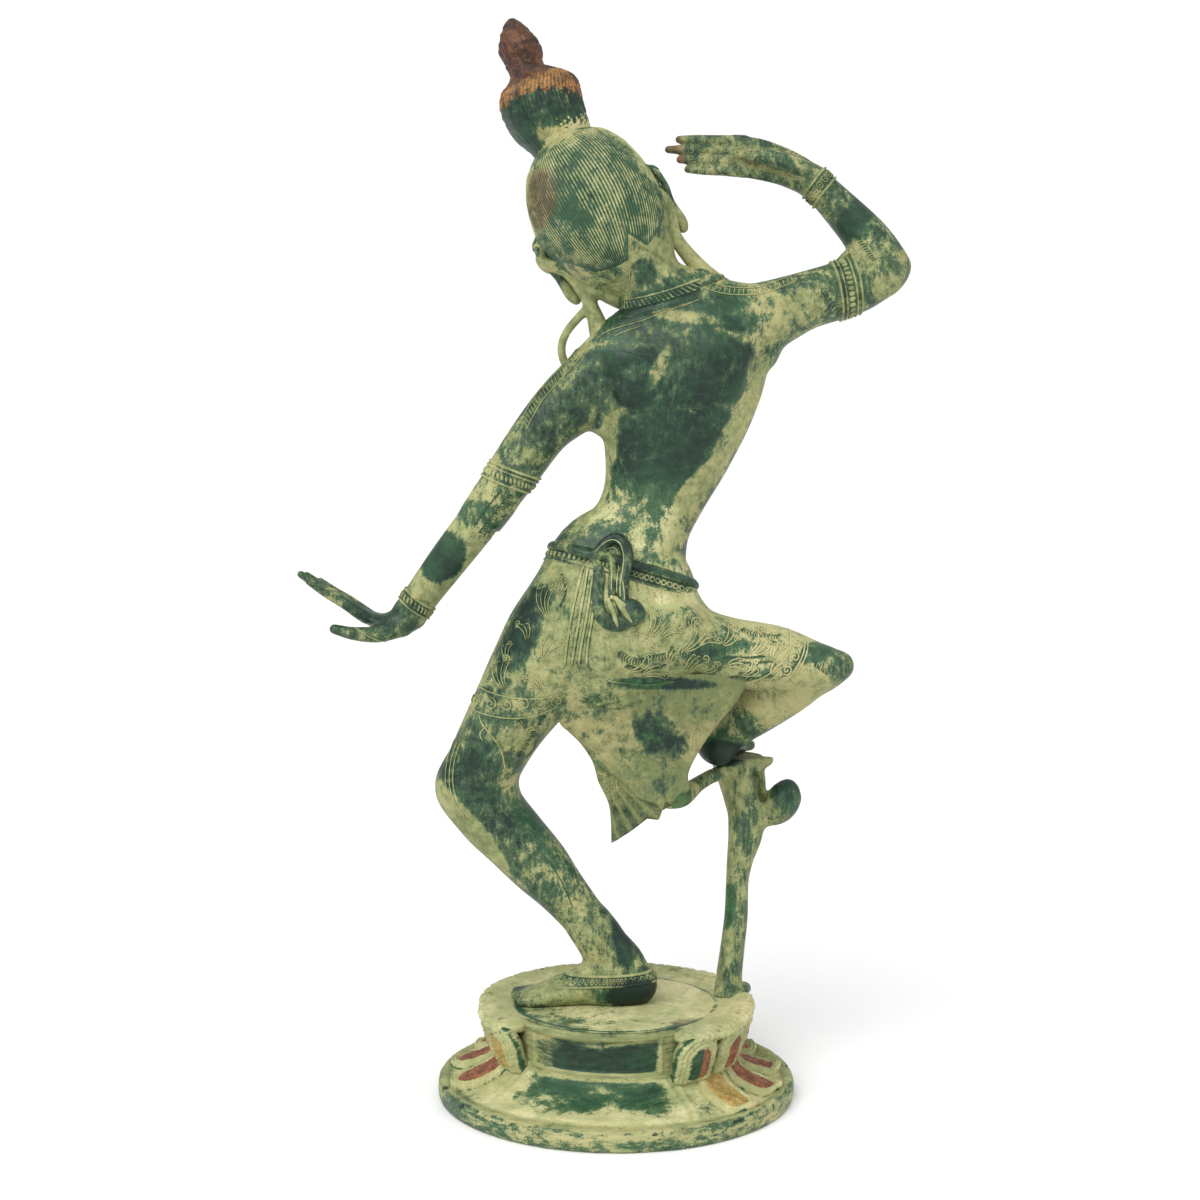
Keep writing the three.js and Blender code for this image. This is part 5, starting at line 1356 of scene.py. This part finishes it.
# The body: a profile turned round, and over it the panel's and the apron's frames, lumps, chips and a crack
profile = np.array(PLINTH_PROFILE, float)
length = np.concatenate([[0], np.cumsum(np.hypot(*np.diff(profile, axis=0).T))])
fine = np.concatenate([np.linspace(0, length[UNDER_EDGE], 8, endpoint=False),
                       np.arange(length[UNDER_EDGE], length[DISC_EDGE], PLINTH_STEP),
                       np.linspace(length[DISC_EDGE], length[-1], 34)])
radius, up = (np.interp(fine, length, profile[:, k])[:, None] for k in (0, 1))
slope = unit(np.stack([np.gradient(radius[:, 0], fine), np.gradient(up[:, 0], fine)], -1))
angle = np.linspace(0, 2 * math.pi, PLINTH_AROUND, endpoint=False)[None, :]
turn = off_panel(angle)
around = turn * radius
base = plinth_points(angle, radius, up - sag(angle, radius) * smooth(APRON_TOP - up, 0, 3))
drum = smooth(up, 27, 28) * smooth(48.2 - up, 0, 1) * smooth(radius, 60, 61)
apron = smooth(up, 11.2, 12) * smooth(25.6 - up, 0, 1.5) * smooth(radius, 60, 64)
framed = np.maximum(np.abs(turn) * DRUM_RADIUS - PANEL_WIDE, np.abs(up - PANEL_UP) - PANEL_TALL)
apron_share = np.clip((up - RIM_HEIGHT) / (APRON_TOP - RIM_HEIGHT), 0, 1)
trapezoid = np.abs(around) - (APRON_WIDE - APRON_TAPER * apron_share)
lift = drum * (0.9 * ridge_line(framed - 0.6, 1.3) - 0.5 * smooth(-framed, -0.5, 1.2))
lift = lift + apron * (0.9 * ridge_line(trapezoid, 1.6) + 0.8 * ridge_line(trapezoid - 6, 1.5))
lift = lift + apron * 0.7 * ridge_line(up - 12.6, 0.7) * smooth(-trapezoid, 0, 4)
rough = 0.5 * lumps(base, 17, 31) + 0.35 * lumps(base, 6, 32) + 0.2 * lumps(base, 2.6, 33)
chips = smooth(lumps(base, 13, 34) + 0.6 * lumps(base, 4, 35), 0.75, 1.1)
at_rim = smooth(up, 6, 10) * smooth(radius, 94, 97)
crack = np.abs(around - 3 - 12 * (48 - up) / 20 - 0.8 * np.sin(up)) + 20 * (1 - smooth(up, 33, 34))
lift = lift - 1.6 * chips * at_rim - 0.6 * drum * ridge_line(crack, 0.8)
disc = smooth(DISC_RADIUS - radius, 0, 2) * smooth(up, 48, 49)
groove = ridge_line(radius - 59.2, 0.7) * smooth(up, 48, 49)
lift = lift + rough * (0.28 - 0.24 * disc) * smooth(radius, 1, 10) * smooth(up, 0, 1.5) - 0.9 * groove
points = base + lift[..., None] * plinth_points(angle, slope[:, 1:], -slope[:, :1])
points[..., 2] = np.maximum(points[..., 2], 0)
body_shape = lift.shape
points, groups = skin_of(points)


def kept(values):
    """A finish over the whole grid as one row, with nought at the two poles."""
    return np.concatenate([np.broadcast_to(values, body_shape).ravel(), np.zeros(2)])


def plinth_tint(start, colour, mottle, grain, streak):
    """Colour in the petals' fields, from mustard to red-brown."""
    field, hue = (start.out("ShaderNodeAttribute", {"attribute_name": key}, "Fac")
                  for key in ("field", "hue"))
    mustard = (streak * 0.6 + grain * 0.4).step(0.4, 0.6).blend(rgb(128, 106, 52), rgb(188, 164, 96))
    clay = (mottle * 0.6 + grain * 0.4).step(0.4, 0.62).blend(rgb(94, 56, 38), rgb(160, 104, 72))
    paint = (hue + mottle * 0.5 - 0.25).step(0.3, 0.7).blend(mustard, clay)
    return (field + streak * 0.9 + mottle * 0.5 - 0.72).step(0.28, 0.6).blend(colour, paint)


# Its colour: a brushed panel and apron, a worn disc with a pink stain, and a painted shadow line along the
# groove round the disc
plinth_patina = patina("plinth_patina", 0.11, -0.15, (0.4, 0.4, 2.0), plinth_tint)
petal_patina = patina("petal_patina", 0.1, -0.4, tint=plinth_tint)
on_back = smooth(PANEL_HALF - np.abs(turn), -0.05, 0.1)
smear = smooth(around + 27 + 4 * lumps(base, 9, 38), 0, 9) * smooth(35 - around, 0, 3)
smear = smear * smooth(up, 28.6, 30) * smooth(43.4 - up + 2 * lumps(base, 13, 36), 0, 6)
brushed = 0.62 * smear + 0.13 * smooth(-framed, 0, 2) - 0.1 * lumps(base * [0.6, 0.6, 2.2], 16, 40)
wash = -drum * on_back * brushed
rubbed = apron * on_back * smooth(-trapezoid + 2 * lumps(base, 8, 39), -1, 14) * smooth(up, 12, 17)
# The groove round the disc takes less wash, so it shows dark: a painted shadow line at the disc's edge.
wash = wash - 0.4 * groove + (0.12 * lumps(base * [0.6, 0.6, 3], 22, 37) - 0.27) * rubbed
wash = wash + 0.04 * disc + 0.1 * ridge_line(framed - 0.6, 2) * drum - 0.16 * smooth(radius, 97, 99)
wash = wash - 0.2 * disc * ridge_line(np.hypot(base[..., 0] + 30, base[..., 1] + 10) - 26, 9)
wash = wash - disc * (0.16 * ridge_line(np.hypot(base[..., 0] - 12, base[..., 1] + 70) - 34, 5)
                      + 0.3 * ridge_line(radius - 56.4, 1.4))
tone = 0.2 * disc + 0.14 * apron + 0.08 * smooth(radius, 94, 96) + 0.06 * apron * smooth(18 - up, 0, 4)
pink = disc * np.exp(-(((base - [38, -38, 50]) / [16, 10, 9]) ** 2).sum(-1))
new_mesh("plinth_body", points, turned_out(points, groups), plinth_patina, {
    "hollow": kept(-lift), "wash": kept(wash), "tone": kept(tone), "warm": kept(0.55 * pink),
    "field": 0, "hue": 0}, node="plinth", placed=False)


# The petals
# Cast with the plinth: twelve upright arches round the drum, with ribs one inside another, and eleven
# tongues that lie on the apron between them. Their fields keep mustard and red-brown colour.


def merged(parts):
    """Several (points, [quads, triangles]) shapes as one."""
    starts = np.cumsum([0] + [len(points) for points, _ in parts[:-1]])
    return (np.vstack([points for points, _ in parts]),
            [np.vstack([groups[k] + start for (_, groups), start in zip(parts, starts)]) for k in (0, 1)])


def petal(turn, hue, half, tall, place_at, ribs, field_reach, seed):
    """One petal as a closed shell of level sections. Its outline is an arch: straight sides under a half
    circle. The height over its ground falls off from the middle as a cushion does, with a rib wherever the
    distance from the arch's spine is one of the ribs."""
    tip = np.cos(np.linspace(0.2, 1.55, 14))
    y = np.concatenate([np.linspace(0, tall - 0.25 * half, 40), tall - 0.25 * half * tip])
    bend = np.maximum(y - (tall - half), 0)
    outline = np.sqrt(np.maximum(half**2 - bend**2, 0.2))[:, None]
    x = np.linspace(-1, 1, 46)[None, :] * outline
    spine = np.hypot(x, bend[:, None])
    cushion = np.sqrt(np.maximum(1 - (spine / half) ** 2, 0)) ** 0.7
    both = np.stack([x + 40 * seed, np.broadcast_to(y[:, None], x.shape), np.zeros_like(x)], -1)
    rough = 0.3 * lumps(both, 6, 41) + 0.22 * lumps(both, 2.6, 42)
    inside = smooth(field_reach - spine, -0.4, 0.8) * smooth(y[:, None], 1, 3)
    lift = cushion * 3.2 + sum(1.35 * ridge_line(spine - rib, 0.75) for rib in ribs) + 0.6 * inside + rough
    front = place_at(turn, x, y[:, None], lift)
    back = place_at(turn, x[:, ::-1], y[:, None], np.full_like(x, -4.0))
    hollow = np.concatenate([-(lift - cushion * 3.2), np.zeros_like(x)], axis=1)
    bare = inside * (hue > 1) * smooth(-x, -0.8, 0.8)
    field = np.concatenate([inside - bare, np.zeros_like(x)], axis=1)
    ribbed = sum(ridge_line(spine - rib, 0.75) for rib in ribs)
    wash = 0.24 * ribbed - 0.34 * (1 - ribbed) * smooth(spine, field_reach, field_reach + 0.8) - 0.8 * bare
    wash = np.concatenate([wash, np.zeros_like(x)], axis=1)
    shape = skin_of(np.concatenate([front, back], axis=1))
    return (shape[0], turned_out(*shape)), hollow, field, wash


def upright(turn, x, y, lift):
    """A place on the upper petals: their ground leans out from the drum, and lift goes outwards."""
    radius = np.interp(y, [0, 9, 18, 24, 30], [66.5, 70, 72.4, 73.8, 74.2]) - 0.011 * x**2 + lift
    up = APRON_TOP - 3 + y - 0.12 * lift
    return plinth_points(PANEL_TURN + turn + x / 70, radius, np.minimum(up, PLINTH_TOP + 1.5))


def lying(turn, x, y, lift):
    """A place on the lower petals: they run out and down over the apron, and lift goes up."""
    radius = 64.5 + y
    ground = np.interp(radius, [62, 66, 72, 80, 90, 97], [26, 22.8, 18.8, 15.4, 12.2, 10.6])
    ground = ground - sag(PANEL_TURN + turn, radius)
    return plinth_points(PANEL_TURN + turn + x / (68 + 0.75 * y), radius, ground + 0.2 + lift)


def petal_mesh(name, turns, hues, **shape):
    """All petals of one row, each with its own share of red-brown in its field."""
    parts, hollows, fields, washes, tints = [], [], [], [], []
    for seed, (turn, hue) in enumerate(zip(turns, hues)):
        part, hollow, field, wash = petal(turn, hue, seed=seed, **shape)
        parts.append(part)
        for row, values in ((hollows, hollow), (fields, field), (washes, wash),
                            (tints, np.full_like(field, hue))):
            row.append(np.concatenate([values.ravel(), np.zeros(2)]))
    new_mesh(name, *merged(parts), petal_patina, {
        "hollow": np.concatenate(hollows), "field": np.concatenate(fields), "hue": np.concatenate(tints),
        "wash": np.concatenate(washes), "tone": 0.15}, node="plinth", placed=False)


upper_turns = PANEL_HALF + (np.arange(PETALS) + 0.5) * PETAL_PITCH
lower_turns = PANEL_HALF + (np.arange(PETALS - 1) + 1.0) * PETAL_PITCH
petal_mesh("upper_petals", upper_turns, [1.2, 0.9, 0.6, 0.8, 0.3, 0.9, 0.7, 0.4, 0.9, 0.8, 0.9, 0.1],
           half=13.4, tall=26.5, place_at=upright, ribs=(12, 9.9, 7.8), field_reach=6.2)
petal_mesh("lower_petals", lower_turns, [0.35, 1.0, 0.9, 0.6, 0.8, 0.9, 0.5, 0.9, 0.8, 1.0, 0.8],
           half=12.6, tall=31, place_at=lying, ribs=(11.6, 9.6), field_reach=8)

# The lumpy crest over the upper petals, which runs up from the disc to their tips
crest_turn = np.linspace(PANEL_HALF + 0.06, 2 * math.pi - PANEL_HALF - 0.06, 460)[:, None]
round_it = np.linspace(0, 2 * math.pi, 60, endpoint=False)[None, :]
ends_in = smooth(np.minimum(crest_turn - crest_turn[0], crest_turn[-1] - crest_turn), 0, 0.12)
spot = plinth_points(PANEL_TURN + crest_turn, 66 + 11 * np.cos(round_it), 46 + 4 * np.sin(round_it))
outer = smooth(np.cos(round_it), -0.5, 0.6)
swell = 1 + outer * (lumps(spot, 15, 51) * 0.035 + lumps(spot, 6, 52) * 0.05 + lumps(spot, 2.8, 53) * 0.05)
squared = np.sign(np.sin(round_it)) * np.abs(np.sin(round_it)) ** 0.6
radius = 65.5 + 12.2 * swell * np.cos(round_it) * (0.4 + 0.6 * ends_in)
up = 46.6 + 3.8 * swell * squared * (0.6 + 0.4 * ends_in)
off_the_ends = smooth(np.minimum(crest_turn, 2 * math.pi - crest_turn), 0.9, 1.7)
up = up + 3.6 * off_the_ends * smooth(radius, 56, 74) * outer
crest = plinth_points(PANEL_TURN + crest_turn, radius, up)
solid_mesh("petal_crest", crest, plinth_patina, {"hollow": 8 * (1 - swell), "wash": 0.1, "tone": 0.15,
                                                 "field": 0, "hue": 0}, node="plinth", placed=False)


# Floor, lamps and camera
# A plain pale floor, a white surround and two broad soft lamps.

floor_mesh = bpy.data.meshes.new("floor")
floor_mesh.from_pydata([(-40, -40, 0), (40, -40, 0), (40, 40, 0), (-40, 40, 0)], [], [(0, 1, 2, 3)])
floor = bpy.data.objects.new("floor", floor_mesh)
bpy.context.scene.collection.objects.link(floor)
floor_finish = bpy.data.materials.new("pale_floor")
floor_finish.use_nodes = True
floor_finish.node_tree.nodes["Principled BSDF"].inputs["Base Color"].default_value = (0.96, 0.96, 0.96, 1)
floor_finish.node_tree.nodes["Principled BSDF"].inputs["Roughness"].default_value = 0.9
floor.data.materials.append(floor_finish)

# The surround looks brighter to the camera than it shines on the bronze
world = bpy.data.worlds.new("studio")
world.use_nodes = True
around = Socket(world.node_tree)
seen = around.out("ShaderNodeLightPath", None, "Is Camera Ray")
world.node_tree.nodes["Background"].inputs["Color"].default_value = (1, 1, 1, 1)
world.node_tree.links.new((seen * 0.36 + 0.68).link, world.node_tree.nodes["Background"].inputs["Strength"])
bpy.context.scene.world = world
bpy.context.scene.view_settings.view_transform = "Standard"


def lamp(name, spot, strength, spread):
    """A very broad sun lamp that shines from a spot towards the figure, so that its shadows stay soft."""
    data = bpy.data.lights.new(name, "SUN")
    data.energy, data.angle = strength, math.radians(spread)
    made = bpy.data.objects.new(name, data)
    made.rotation_euler = (-Vector(place(spot))).to_track_quat("-Z", "Y").to_euler()
    bpy.context.scene.collection.objects.link(made)


lamp("key_lamp", [-700, -1100, 1200], 2.1, 50)
lamp("fill_lamp", [1300, -700, 900], 0.5, 70)

EYE, EYE_FALL = [-9, -951, 322.5], math.radians(2.69)
camera_data = bpy.data.cameras.new("camera")
camera_data.lens, camera_data.sensor_width = 51, 36
camera = bpy.data.objects.new("camera", camera_data)
ahead = Vector(place([0, math.cos(EYE_FALL), 0])) * 1000 - Vector((0, 0, math.sin(EYE_FALL)))
camera.location = Vector(place(EYE))
camera.rotation_euler = ahead.to_track_quat("-Z", "Y").to_euler()
bpy.context.scene.collection.objects.link(camera)
bpy.context.scene.camera = camera
